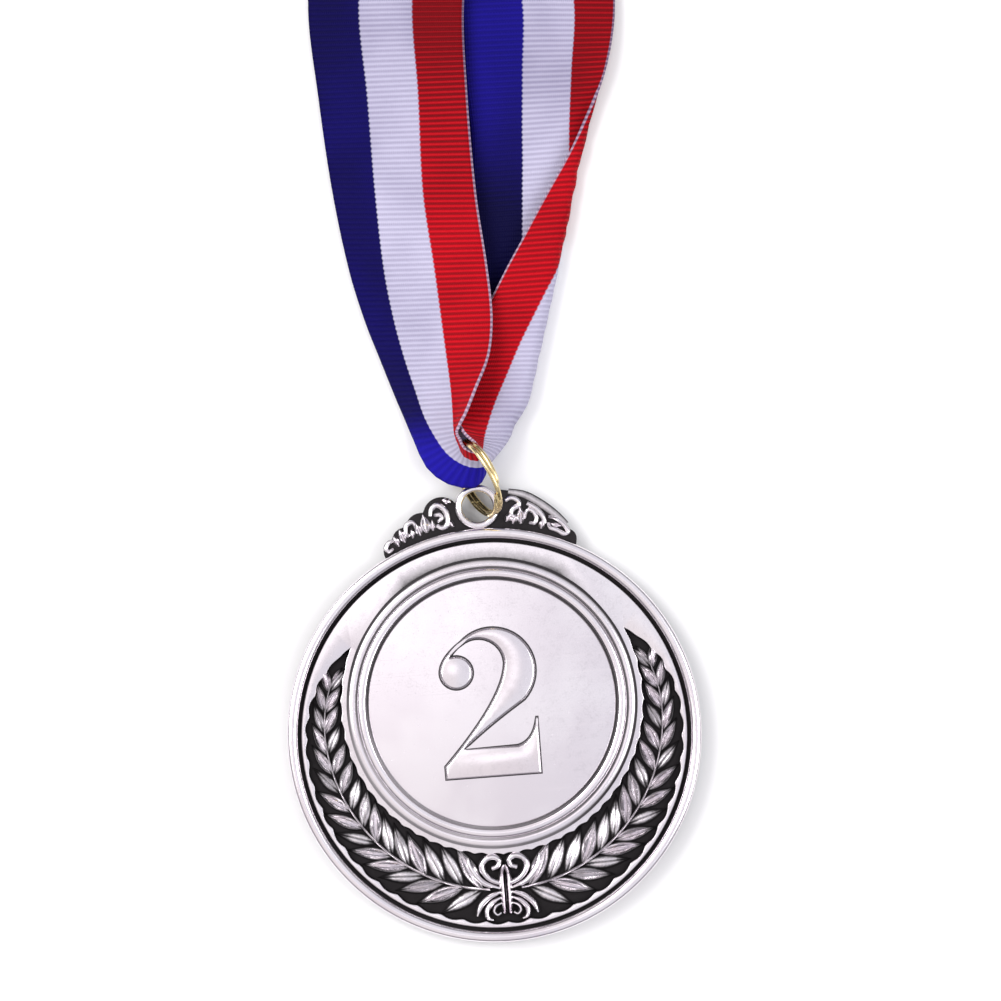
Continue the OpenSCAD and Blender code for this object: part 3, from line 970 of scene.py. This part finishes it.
# The right side's smooth edge, as degrees from the top and radius
SMOOTH_EDGE = (
    (5.5, 38.5), (8, 38.4), (11, 38.0), (14, 37.5), (17, 36.9),
    (20, 36.0), (23, 34.9), (25.5, 33.7), (28.5, 31.9),
)


def lug_outline():
    """The crown's lobed outline above the disc's edge, with a tongue round the eyelet."""
    circles = []
    for side in (1, -1):
        for degrees, out, r in LUG_LOBES:
            a = math.radians(90 - side * degrees)
            circles.append(((DISC_R + out) * math.cos(a), (DISC_R + out) * math.sin(a), r))
    circles.append((0, EYELET_Y, EYELET_R))
    path = []
    for i in range(181):
        a = math.radians(90 + LUG_SPAN - 2 * LUG_SPAN * i / 180)
        ray = Vector((math.cos(a), math.sin(a)))
        reach = DISC_R - 0.6
        tilt = 90 - math.degrees(a)
        if tilt > SMOOTH_EDGE[0][0]:
            for (t0, r0), (t1, r1) in zip(SMOOTH_EDGE, SMOOTH_EDGE[1:]):
                if t0 <= tilt <= t1:
                    reach = r0 + (r1 - r0) * (tilt - t0) / (t1 - t0)
        for x, y, r in circles:
            near = ray.dot(Vector((x, y)))
            off = (Vector((x, y)) - ray * near).length
            if off < r:
                reach = max(reach, near + math.sqrt(r * r - off * off))
        path.append(tuple(ray * reach))
    return path


class MEDAL_OT_lug(bpy.types.Operator):
    """Makes the scrolled lug and its eyelet"""

    bl_idname = "medal.lug"
    bl_label = "Lug"

    def execute(self, context):
        bm = bmesh.new()
        outer = lug_outline()
        foot_r = DISC_R - 0.3
        inner = [(foot_r * x / math.hypot(x, y), foot_r * y / math.hypot(x, y)) for x, y in reversed(outer)]
        path = outer + inner
        loops = terrace(
            bm,
            path,
            [
                (0.15, LUG_BACK),
                (0, LUG_BACK + 0.15),
                (0, LUG_TOP - 0.3),
                (0.12, LUG_TOP - 0.08),
                (0.3, LUG_TOP),
            ],
            cap=False,
        )
        holes = []
        for z in (LUG_BACK, LUG_TOP):
            made = bmesh.ops.create_circle(
                bm, segments=48, radius=HOLE_R, matrix=Matrix.Translation((0, EYELET_Y, z))
            )
            ring = set(made["verts"])
            holes.append([e for e in bm.edges if e.verts[0] in ring and e.verts[1] in ring])
        bmesh.ops.bridge_loops(bm, edges=holes[0] + holes[1])
        bmesh.ops.triangle_fill(bm, use_beauty=True, edges=loops[0] + holes[0])
        bmesh.ops.triangle_fill(bm, use_beauty=True, edges=loops[-1] + holes[1])
        dark = silver_plate("lug_plate_metal", LUG_TOP + 0.02, LUG_TOP + 0.6, 0.98, 0.4, 0.5, 0.4)
        cast("lug", bm, dark, "lug_plate", "antique_silver")

        bm = bmesh.new()
        mid = (HOLE_R + EYELET_R) / 2
        half = (EYELET_R - HOLE_R) / 2 + 0.08
        crown = [
            (mid - half * math.cos(a), EYELET_TOP - 0.45 + 0.45 * math.sin(a))
            for a in [math.pi * i / 12 for i in range(13)]
        ]
        foot = [(mid + half, LUG_TOP - 0.2), (mid - half, LUG_TOP - 0.2)]
        lathe(bm, crown + foot + [crown[0]], steps=96, axis=(0, EYELET_Y))
        silver = silver_plate("eyelet_plate", LUG_TOP + 0.05, EYELET_TOP - 0.12, 0.92, 0.3, 0.3, 0.25)
        cast("eyelet", bm, silver, "lug_eyelet")

        silver = silver_plate("scroll_plate", LUG_TOP + 0.04, LUG_TOP + 0.28, 0.97, 0.4, 0.4, 0.45)
        for name, cords, leaves in (
            ("lug_scrolls_right", RIGHT_CORDS, RIGHT_LEAVES),
            ("lug_scrolls_left", LEFT_CORDS, LEFT_LEAVES),
        ):
            bm = bmesh.new()
            scrolls(bm, cords, leaves)
            cast(name, bm, silver, name, "antique_silver", smooth=60)
        return {"FINISHED"}


# Raised cords on the lug as (points, width, height), and leaves as (root, degrees, length, width)
RIGHT_CORDS = (
    (((5.0, 37.9), (7.5, 37.2), (10.1, 35.5), (12.2, 33.7), (13.7, 32.1)), 0.9, 0.24),
    (((4.4, 36.5), (5.3, 36.9), (6.3, 36.5), (6.5, 35.7), (5.6, 35.2), (5.2, 34.4), (5.9, 33.8)), 0.62, 0.5),
    (((7.2, 33.5), (7.8, 34.8), (8.7, 34.5), (9.1, 33.4), (8.7, 32.7), (7.9, 32.8)), 0.55, 0.5),
    (((7.8, 35.9), (9.2, 34.9), (10.1, 33.7), (10.4, 32.5)), 0.65, 0.5),
    (
        (
            (11.0, 33.5), (12.1, 33.2), (13.3, 32.1), (13.9, 31.0),
            (13.2, 30.7), (12.2, 31.3), (11.1, 31.8), (11.0, 32.6),
        ),
        0.55, 0.5,
    ),
)
RIGHT_LEAVES = (
    ((6.6, 32.7), 85, 2.9, 1.0),
    ((4.3, 33.2), 55, 1.8, 0.8),
    ((5.3, 32.8), 65, 1.7, 0.8),
    ((9.7, 31.7), 75, 1.6, 0.8),
    ((11.3, 32.4), -20, 1.9, 0.6),
)
LEFT_CORDS = (
    (
        (
            (-7.5, 35.0), (-7.2, 36.1), (-6.2, 36.6), (-5.2, 35.8),
            (-4.8, 34.6), (-4.9, 33.5), (-5.7, 33.0), (-6.6, 33.4),
        ),
        0.68, 0.5,
    ),
    (((-6.9, 35.0), (-6.1, 35.1), (-5.7, 34.5), (-6.4, 34.0)), 0.5, 0.45),
    (((-9.7, 33.0), (-10.3, 34.2), (-11.3, 33.8), (-11.5, 32.7), (-11.0, 32.0)), 0.55, 0.5),
    (((-13.4, 31.5), (-14.2, 31.3), (-14.8, 30.4), (-14.3, 29.9), (-13.6, 30.3)), 0.5, 0.45),
)
LEFT_LEAVES = (
    ((-8.2, 32.4), 96, 3.1, 1.2),
    ((-7.2, 32.6), 88, 1.9, 0.8),
    ((-9.2, 32.0), 105, 2.2, 0.9),
    ((-11.7, 31.1), 108, 2.4, 0.9),
    ((-12.7, 30.6), 112, 1.9, 0.8),
    ((-4.1, 36.9), 160, 1.6, 0.8),
    ((-4.0, 33.0), 120, 1.6, 0.7),
    ((-10.4, 31.7), 95, 1.6, 0.7),
)


def scrolls(bm, cords, leaves):
    """Raised scrolls and small leaves that step down from the eyelet along the disc's edge."""
    floor = LUG_TOP - 0.05
    for points, wide, up in cords:
        path = through(points)
        ridge(bm, path, taper(len(path), wide * 1.55, wide * 1.05), [up] * len(path), floor, circle(8))
    for root, degrees, long, wide in leaves:
        leaf(bm, (*root, floor), math.radians(degrees), long, wide * 1.35, 0.5, curl=0.1)


# ---------- the split ring ----------


class MEDAL_OT_split_ring(bpy.types.Operator):
    """Makes two turns of wire with open ends"""

    bl_idname = "medal.split_ring"
    bl_label = "Split ring"

    def execute(self, context):
        wire = context.scene.medal_sizes.wire_r
        radius = (high("split_ring").z - low("split_ring").z) / 2
        axis = RING_AXIS
        full_turn = 2 * math.pi
        up = (Vector((0, 0, 1)) - axis * axis.z).normalized()
        side = axis.cross(up)
        radius = (radius - wire - wire * 0.96 * abs(axis.z)) / up.z
        turns, steps = 1.96, 150
        pitch = wire * 1.92
        start = math.radians(35)
        places = []
        for i in range(steps + 1):
            t = i / steps
            a = start + full_turn * turns * t
            climb = min(1.0, max(0.0, (t - 0.42) / 0.14))
            climb = climb * climb * (3 - 2 * climb)
            round_place = RING + up * radius * math.cos(a) + side * radius * math.sin(a)
            places.append(round_place + axis * pitch * (climb - 0.5))
        stations = []
        for i, place in enumerate(places):
            ahead = places[min(i + 1, steps)] - places[max(i - 1, 0)]
            tip = min(1.0, 0.55 + 0.45 * min(i, steps - i) / 1.5)
            stations.append(station(place, ahead, axis, wire * tip, wire * tip))
        bm = bmesh.new()
        sweep(bm, circle(16), stations)
        finish_piece("ring_wire", bm, gilt_wire(), "ring", "gilt_wire", "split_ring", smooth=50)
        return {"FINISHED"}


# ---------- the ribbon ----------


def across(*points):
    """A section through the two edges and the stripes' two borders, from blue to red."""
    shares = [i / (len(points) - 1) for i in range(len(points))]
    return spaced(shares, points)


def spaced(shares, points):
    """A section through points that stand at the given shares of the width."""
    columns = bpy.context.scene.ribbon_sizes.columns
    points = [Vector(p) for p in points]
    count = len(points)
    slopes = []
    for i in range(count):
        one, two = max(i - 1, 0), min(i + 1, count - 1)
        slopes.append((points[two] - points[one]) / (shares[two] - shares[one]))
    section = []
    for c in range(columns + 1):
        u = c / columns
        i = min(max(k for k in range(count) if shares[k] <= u + 1e-9), count - 2)
        gap = shares[i + 1] - shares[i]
        t = (u - shares[i]) / gap
        section.append(hermite(points[i], points[i + 1], slopes[i] * gap, slopes[i + 1] * gap, t))
    return section


def turned_back(y, red, fold, top, under=0.6, narrow=1.0, slope=0.0, borders=None):
    """A section whose red part is turned back over the rest: the blue edge below, the fold at the right.

    borders are where the stripes meet underneath, the red and white and then the white and blue.
    """
    sizes = bpy.context.scene.ribbon_sizes
    stripe = sizes.width / STRIPES
    r = (top - under) / 2
    flat = (fold - r - red) / narrow
    start = flat + math.pi * r
    marks = [(start, fold - r)]
    if borders:
        if start < stripe - 1:
            marks.append((stripe, borders[0]))
        marks.append((2 * stripe, borders[1]))
    marks.append((sizes.width, marks[-1][1] - (sizes.width - marks[-1][0])))
    section = []
    for c in range(sizes.columns + 1):
        a = sizes.width * (1 - c / sizes.columns)
        if a < flat:
            x, z = red + a * narrow, top
        elif a < start:
            turn = (a - flat) / r
            x, z = fold - r + r * math.sin(turn), under + r + r * math.cos(turn)
        else:
            one, two = [(m, n) for m, n in zip(marks, marks[1:]) if a <= n[0] + 1e-6][0]
            x, z = one[1] + (two[1] - one[1]) * (a - one[0]) / (two[0] - one[0]), under
        section.append(Vector((x, y + slope * (x - fold), z)))
    return section


def left_strand():
    """Sections from the fold down to the ring: blue edge, the stripes' two borders, red edge."""
    return [
        across((-6.4, 166, 1.9), (1.9, 166, 1.9), (10.2, 166, 1.9), (18.5, 166, 1.9)),
        across((-11.3, 148, 1.5), (-3.1, 148, 1.9), (5.2, 148, 2.0), (13.4, 148, 2.0)),
        across((-17.6, 131.5, 0.6), (-9.4, 131, 1.1), (-1.1, 130.6, 1.9), (7.0, 130, 2.1)),
        across((-20.6, 117, 0.4), (-12.6, 116.5, 0.8), (-4.2, 116, 1.5), (3.9, 115.4, 2.1)),
        across((-20.1, 101.8, 0.4), (-12.4, 101.6, 0.9), (-4.4, 101.3, 1.5), (3.3, 101, 2.2)),
        across((-19.0, 86.8, 0.4), (-12.3, 86.3, 1.0), (-4.8, 85.8, 1.8), (3.5, 85.2, 2.6)),
        across((-17.3, 74.4, 0.4), (-11.8, 74, 1.3), (-3.9, 73.6, 2.5), (4.4, 73.2, 3.6)),
        across((-15.4, 66.3, 0.5), (-10.8, 66, 1.8), (-3.4, 65.7, 3.3), (4.6, 65.4, 4.8)),
        across((-13.5, 60.3, 0.5), (-9.6, 60, 2.2), (-3.0, 59.7, 4.1), (3.6, 59.4, 6.2)),
        across((-11.7, 54.7, 0.6), (-8.2, 54.6, 2.6), (-2.65, 54.5, 4.9), (1.2, 54.4, 8.0)),
        across((-10.3, 50.6, 0.7), (-7.1, 50.5, 2.9), (-2.6, 50.4, 5.3), (-0.8, 50.4, 9.0)),
        across((-9.1, 47.0, 1.6), (-5.7, 47.3, 3.7), (-2.6, 47.6, 5.7), (-2.3, 47.9, 9.3)),
        across((-7.4, 42.6, 3.5), (-4.0, 44.5, 5.0), (-2.0, 45.6, 6.6), (-1.95, 46.7, 9.3)),
        across((-4.2, 39.8, 4.6), (-1.7, 42.7, 6.6), (-1.3, 43.9, 7.8), (-1.3, 45.2, 9.1)),
    ]


def right_strand():
    """Sections from the ring up to the fold, half turned over on the way."""
    return [
        across((-0.2, 39.0, 4.8), (0.45, 42.1, 7.2), (0.6, 43.1, 8.4), (0.3, 44.3, 9.0)),
        spaced(
            [0, 1 / 3, 0.5, 2 / 3, 1],
            [(1.7, 41.9, 3.4), (2.6, 42.8, 4.2), (3.0, 43.6, 5.6), (1.4, 44.9, 7.5), (0.7, 45.5, 9.0)],
        ),
        spaced(
            [0, 1 / 3, 0.45, 0.5, 0.55, 2 / 3, 1],
            [
                (-0.8, 46.0, 0.8),
                (3.8, 46.1, 1.4),
                (5.6, 46.5, 2.4),
                (6.0, 46.8, 3.2),
                (5.4, 46.9, 4.0),
                (2.0, 47.2, 5.8),
                (-1.4, 47.9, 9.0),
            ],
        ),
        turned_back(51.3, -2.6, 8.9, 3.6, narrow=0.78, slope=-0.08),
        turned_back(56, -1.2, 10.5, 3.3, narrow=0.89, slope=-0.065),
        turned_back(61, 0.4, 12.0, 3.0, slope=-0.05),
        turned_back(65, 2.7, 13.2, 2.9, slope=-0.03),
        turned_back(69, 5.0, 14.4, 2.8, borders=(14, 9.4)),
        turned_back(73, 7.4, 15.6, 2.7, borders=(14.8, 9.8)),
        turned_back(77.5, 10.3, 16.9, 2.6, borders=(15.8, 10.2)),
        turned_back(81, 12.5, 17.9, 2.5, borders=(16.7, 10.5)),
        turned_back(85, 15.1, 19.0, 2.4, borders=(17.7, 10.8)),
        turned_back(89.7, 18.2, 20.4, 2.3, borders=(18.5, 11.2)),
        turned_back(94.5, 20.9, 22.0, 2.2, borders=(18.9, 11.5)),
        across((2.6, 103.5, 0.6), (12.2, 103.3, 0.6), (19.9, 103.0, 0.8), (25.2, 102.8, 2.5)),
        across((2.8, 115, 0.6), (13.0, 114.7, 0.6), (21.1, 114.1, 0.7), (27.5, 113.5, 1.6)),
        across((2.4, 131, 0.6), (10.7, 131, 0.6), (19.0, 131, 0.6), (27.2, 131, 0.8)),
        across((-2.9, 148, 0.6), (5.4, 148, 0.6), (13.7, 148, 0.6), (21.9, 148, 0.6)),
        across((-6.4, 166, 0.9), (1.9, 166, 0.9), (10.2, 166, 0.9), (18.5, 166, 0.9)),
    ]


def folded_length():
    """Sections of the doubled zigzag outwards from the strands, the upper strand's and then the lower's."""
    columns = bpy.context.scene.ribbon_sizes.columns
    near, far = FOLD_LOW.y, FOLD_HIGH.y
    layer = (FOLD_HIGH.z - FOLD_LOW.z) / 10
    left = FOLD_LOW.x
    width = FOLD_HIGH.x - FOLD_LOW.x

    def row(y, z, shift):
        return [Vector((left + shift + width * (c / columns), y, z)) for c in range(columns + 1)]

    def height(index):
        return FOLD_LOW.z + layer * (index + 0.5)

    def strand(upper):
        rows = []
        for run in range(5):
            outward = run % 2 == 0
            z = height(2 * run + (upper == outward))
            reach = 3.5 + 0.6 * math.sin(2.1 * run)
            ends = (near + reach, far - reach)
            start, stop = ends if outward else (ends[1], ends[0])
            shift = 0.25 * math.sin(1.7 * run + 0.5)
            for i in range(4):
                rows.append(row(start + (stop - start) * i / 3, z + 0.08 * math.sin(2.3 * i + run), shift))
            if run < 4:
                r = (height(2 * run + 2 + (upper != outward)) - z) / 2
                sign = 1 if outward else -1
                for turn in (45, 90, 135):
                    a = math.radians(turn)
                    rows.append(row(stop + sign * r * math.sin(a), z + r - r * math.cos(a), shift))
        return rows

    return strand(True), strand(False)


class MEDAL_OT_ribbon(bpy.types.Operator):
    """Makes the woven ribbon as one long strip, from seam to seam"""

    bl_idname = "medal.ribbon"
    bl_label = "Ribbon"

    def execute(self, context):
        sizes = context.scene.ribbon_sizes
        upper, lower = folded_length()
        seam_y = middle("ribbon_seam").y
        head = [s for s in upper if not (s[0].z > FOLD_HIGH.z - 0.6 and s[0].y > seam_y + 6)]
        sections = list(reversed(head)) + left_strand() + right_strand() + lower
        end_z = lower[-1][0].z
        far = lower[-1][0].y
        top_z = FOLD_HIGH.z - 0.35
        lap = (
            (far + 0.8, end_z + 0.4),
            (far - 2, top_z),
            (far - 20, top_z),
            (seam_y + 8, top_z),
            (seam_y + 4, top_z + 0.4),
            (seam_y - 5, top_z + 0.45),
        )
        for y, z in lap:
            sections.append([Vector((v.x, y, z)) for v in lower[-1]])
        rows = smooth_rows(sections, 1.3)
        lengths = [0.0]
        middle_column = sizes.columns // 2
        for one, two in zip(rows, rows[1:]):
            lengths.append(lengths[-1] + (two[middle_column] - one[middle_column]).length)
        print(f"ribbon length {lengths[-1]:.0f} mm in {len(rows)} rows")
        bm = bmesh.new()
        bmesh.ops.create_grid(bm, x_segments=sizes.columns, y_segments=len(rows) - 1, size=0.5)
        weave = bm.loops.layers.uv.new("weave")
        spots = {}
        for vert in bm.verts:
            c = round((vert.co.x + 0.5) * sizes.columns)
            r = round((vert.co.y + 0.5) * (len(rows) - 1))
            spots[vert] = (c, r)
        for vert, (c, r) in spots.items():
            vert.co = rows[r][c]
        for face in bm.faces:
            for loop in face.loops:
                c, r = spots[loop.vert]
                loop[weave].uv = (c / sizes.columns, lengths[r] / sizes.width)
        piece = finish_strip("neck_ribbon", bm, woven_stripes(), sizes.thickness)
        return {"FINISHED"}


def smooth_rows(sections, step):
    """Rows of points along a smooth surface through the sections, about one step apart."""
    columns = len(sections[0])
    count = len(sections)
    mid = columns // 2
    gaps = [max(0.2, (b[mid] - a[mid]).length) for a, b in zip(sections, sections[1:])]
    knots = [0.0]
    for gap in gaps:
        knots.append(knots[-1] + gap)
    slopes = []
    for i in range(count):
        one, two = max(i - 1, 0), min(i + 1, count - 1)
        span = knots[two] - knots[one]
        slopes.append([(sections[two][c] - sections[one][c]) / span for c in range(columns)])
    rows = [sections[0]]
    for i, gap in enumerate(gaps):
        pieces = max(1, round(gap / step))
        for k in range(1, pieces + 1):
            t = k / pieces
            ends = zip(sections[i], sections[i + 1], slopes[i], slopes[i + 1])
            rows.append([hermite(a, b, m * gap, n * gap, t) for a, b, m, n in ends])
    return rows


def finish_strip(name, bm, material, thickness):
    """Turns the strip into a thin cloth piece that stands for all of the ribbon's plain solids."""
    piece = link_piece(name, bm, material)
    solid = piece.modifiers.new("thickness", "SOLIDIFY")
    solid.thickness = thickness * MM
    solid.offset = 0
    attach(piece, "ribbon")
    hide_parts("ribbon_left_strand", "ribbon_right_strand", "ribbon_bight", "ribbon_fold")
    return piece


class MEDAL_OT_seam(bpy.types.Operator):
    """Makes the rows of stitches that join the ribbon's ends"""

    bl_idname = "medal.seam"
    bl_label = "Seam"

    def execute(self, context):
        bm = bmesh.new()
        first, last = low("ribbon_seam"), high("ribbon_seam")
        z = FOLD_HIGH.z + 0.25
        for y in (first.y + 0.2, last.y - 0.2):
            for i in range(12):
                x = first.x + (last.x - first.x) * (i + 0.5) / 12
                path = [(x - 0.8 + 1.6 * k / 6, z + 0.12 * math.sin(math.pi * k / 6)) for k in range(7)]
                stations = [
                    station((px, y, pz), (1, 0, 0), (0, 0, 1), 0.16 + 0.04 * math.sin(math.pi * k / 6), 0.14)
                    for k, (px, pz) in enumerate(path)
                ]
                sweep(bm, circle(8), stations)
        thread = sewing_thread()
        finish_piece("ribbon_stitches", bm, thread, "ribbon", "sewing_thread", "ribbon_seam", smooth=60)
        return {"FINISHED"}


class MEDAL_OT_paper_band(bpy.types.Operator):
    """Makes the paper band round the folded ribbon"""

    bl_idname = "medal.paper_band"
    bl_label = "Paper band"

    def execute(self, context):
        bm = bmesh.new()
        x0, x1 = BAND_LOW.x + 0.15, BAND_HIGH.x - 0.15
        z0, z1 = BAND_LOW.z + 0.15, BAND_HIGH.z - 0.15
        r = 1.6
        path = [(x0 + 6, z1)]
        corners = ((x0 + r, z1 - r, 90), (x0 + r, z0 + r, 180), (x1 - r, z0 + r, 270), (x1 - r, z1 - r, 360))
        for cx, cz, start in corners:
            path += round_path(cx, cz, r, start, start + 90, 6)
        path += [(x0 + 15, z1), (x0 + 9, z1 + 0.28), (x0 + 1.5, z1 + 0.3)]
        length = BAND_HIGH.y - BAND_LOW.y
        verts = [bm.verts.new((x, BAND_LOW.y, z)) for x, z in path]
        edges = [bm.edges.new(pair) for pair in zip(verts, verts[1:])]
        for _ in range(4):
            moved, edges = extruded(bm, edges)
            bmesh.ops.translate(bm, vec=(0, length / 4, 0), verts=moved)
        bmesh.ops.recalc_face_normals(bm, faces=bm.faces)
        bmesh.ops.solidify(bm, geom=bm.faces[:], thickness=0.22)
        finish_piece("paper_band_loop", bm, band_paper(), "band", "band_paper", "paper_band", smooth=50)
        return {"FINISHED"}


# ---------- the stage ----------


class MEDAL_OT_stage(bpy.types.Operator):
    """Makes the floor, the lights and the camera"""

    bl_idname = "medal.stage"
    bl_label = "Stage"

    def execute(self, context):
        scene = context.scene
        scene.view_settings.view_transform = "Standard"
        bm = bmesh.new()
        bmesh.ops.create_grid(bm, x_segments=1, y_segments=1, size=3.0)
        bmesh.ops.translate(bm, vec=(0, 0, -0.0002), verts=bm.verts)
        mesh = bpy.data.meshes.new("floor")
        bm.to_mesh(mesh)
        bm.free()
        material, shader, _ = new_material("floor_paper", Roughness=0.9)
        shader.inputs["Base Color"].default_value = (0.9, 0.9, 0.9, 1)
        mesh.materials.append(material)
        floor = bpy.data.objects.new("floor", mesh)
        scene.collection.objects.link(floor)

        world = bpy.data.worlds.new("studio")
        world.use_nodes = True
        scene.world = world
        w = Wiring(world.node_tree)
        direction = w.node("ShaderNodeTexCoord").outputs["Generated"]
        sky = w.split(direction)
        bright = w.spread(sky["Z"], 0.1, 0.85)
        tint = w.mix(w.spread(sky["X"], -0.12, 0.12), (0.93, 0.885, 0.9), (0.87, 0.87, 0.93))
        colour = w.mix(bright, (0.14, 0.13, 0.15), tint)
        panel = w.node("ShaderNodeVectorMath", operation="DISTANCE")
        w.join(direction, panel.inputs[0])
        panel.inputs[1].default_value = (-0.09, 0.07, 0.99)
        glow = w.spread(panel.outputs["Value"], 0.15, 0.085)
        colour = w.mix(glow, colour, (1.5, 1.46, 1.5))
        w.join(colour, world.node_tree.nodes["Background"].inputs["Color"])
        world.node_tree.nodes["Background"].inputs["Strength"].default_value = 1.0

        for name, place, size, power in (
            ("softbox_left", (-0.7, 0.35, 0.75), 0.7, 9),
            ("softbox_right", (0.75, -0.1, 0.7), 0.6, 5),
        ):
            data = bpy.data.lights.new(name, "AREA")
            data.shape = "SQUARE"
            data.size = size
            data.energy = power
            lamp = bpy.data.objects.new(name, data)
            lamp.location = place
            aim = Vector((0, 0.04, 0)) - Vector(place)
            lamp.rotation_euler = aim.to_track_quat("-Z", "Y").to_euler()
            scene.collection.objects.link(lamp)

        data = bpy.data.cameras.new("camera")
        distance = 0.9
        view_width = 0.157
        data.sensor_width = 36
        data.lens = 36 * distance / view_width
        data.clip_start = 0.05
        camera = bpy.data.objects.new("camera", data)
        camera.location = (0.0037, 0.0366, distance + 0.003)
        camera.rotation_euler = (0, 0, math.radians(-4.3))
        scene.collection.objects.link(camera)
        scene.camera = camera
        return {"FINISHED"}


# ---------- panel and registration ----------

STEPS = (
    "disc",
    "rim",
    "number_frame",
    "figure",
    "wreath",
    "bow",
    "lug",
    "split_ring",
    "ribbon",
    "seam",
    "paper_band",
    "stage",
)


class VIEW3D_PT_medal(bpy.types.Panel):
    bl_label = "Place medal"
    bl_space_type = "VIEW_3D"
    bl_region_type = "UI"
    bl_category = "Medal"

    def draw(self, context):
        scene = context.scene
        for group, names in (
            (scene.medal_sizes, ("leaf_pairs", "branch_angle", "wire_r", "numeral_up")),
            (scene.ribbon_sizes, ("width", "thickness", "length", "columns")),
            (scene.medal_finish, ("silver", "patina", "gilt", "ribbon_blue", "ribbon_white", "ribbon_red")),
        ):
            box = self.layout.box()
            for name in names:
                box.prop(group, name)
        for step in STEPS:
            self.layout.operator("medal." + step)


CLASSES = (
    MedalSizes,
    RibbonSizes,
    MedalFinish,
    MEDAL_OT_disc,
    MEDAL_OT_rim,
    MEDAL_OT_number_frame,
    MEDAL_OT_figure,
    MEDAL_OT_wreath,
    MEDAL_OT_bow,
    MEDAL_OT_lug,
    MEDAL_OT_split_ring,
    MEDAL_OT_ribbon,
    MEDAL_OT_seam,
    MEDAL_OT_paper_band,
    MEDAL_OT_stage,
    VIEW3D_PT_medal,
)


def register():
    for cls in CLASSES:
        bpy.utils.register_class(cls)
    bpy.types.Scene.medal_sizes = bpy.props.PointerProperty(type=MedalSizes)
    bpy.types.Scene.ribbon_sizes = bpy.props.PointerProperty(type=RibbonSizes)
    bpy.types.Scene.medal_finish = bpy.props.PointerProperty(type=MedalFinish)


def unregister():
    del bpy.types.Scene.medal_finish
    del bpy.types.Scene.ribbon_sizes
    del bpy.types.Scene.medal_sizes
    for cls in reversed(CLASSES):
        bpy.utils.unregister_class(cls)


def main():
    register()
    for step in STEPS:
        getattr(bpy.ops.medal, step)()


if __name__ == "__main__":
    main()
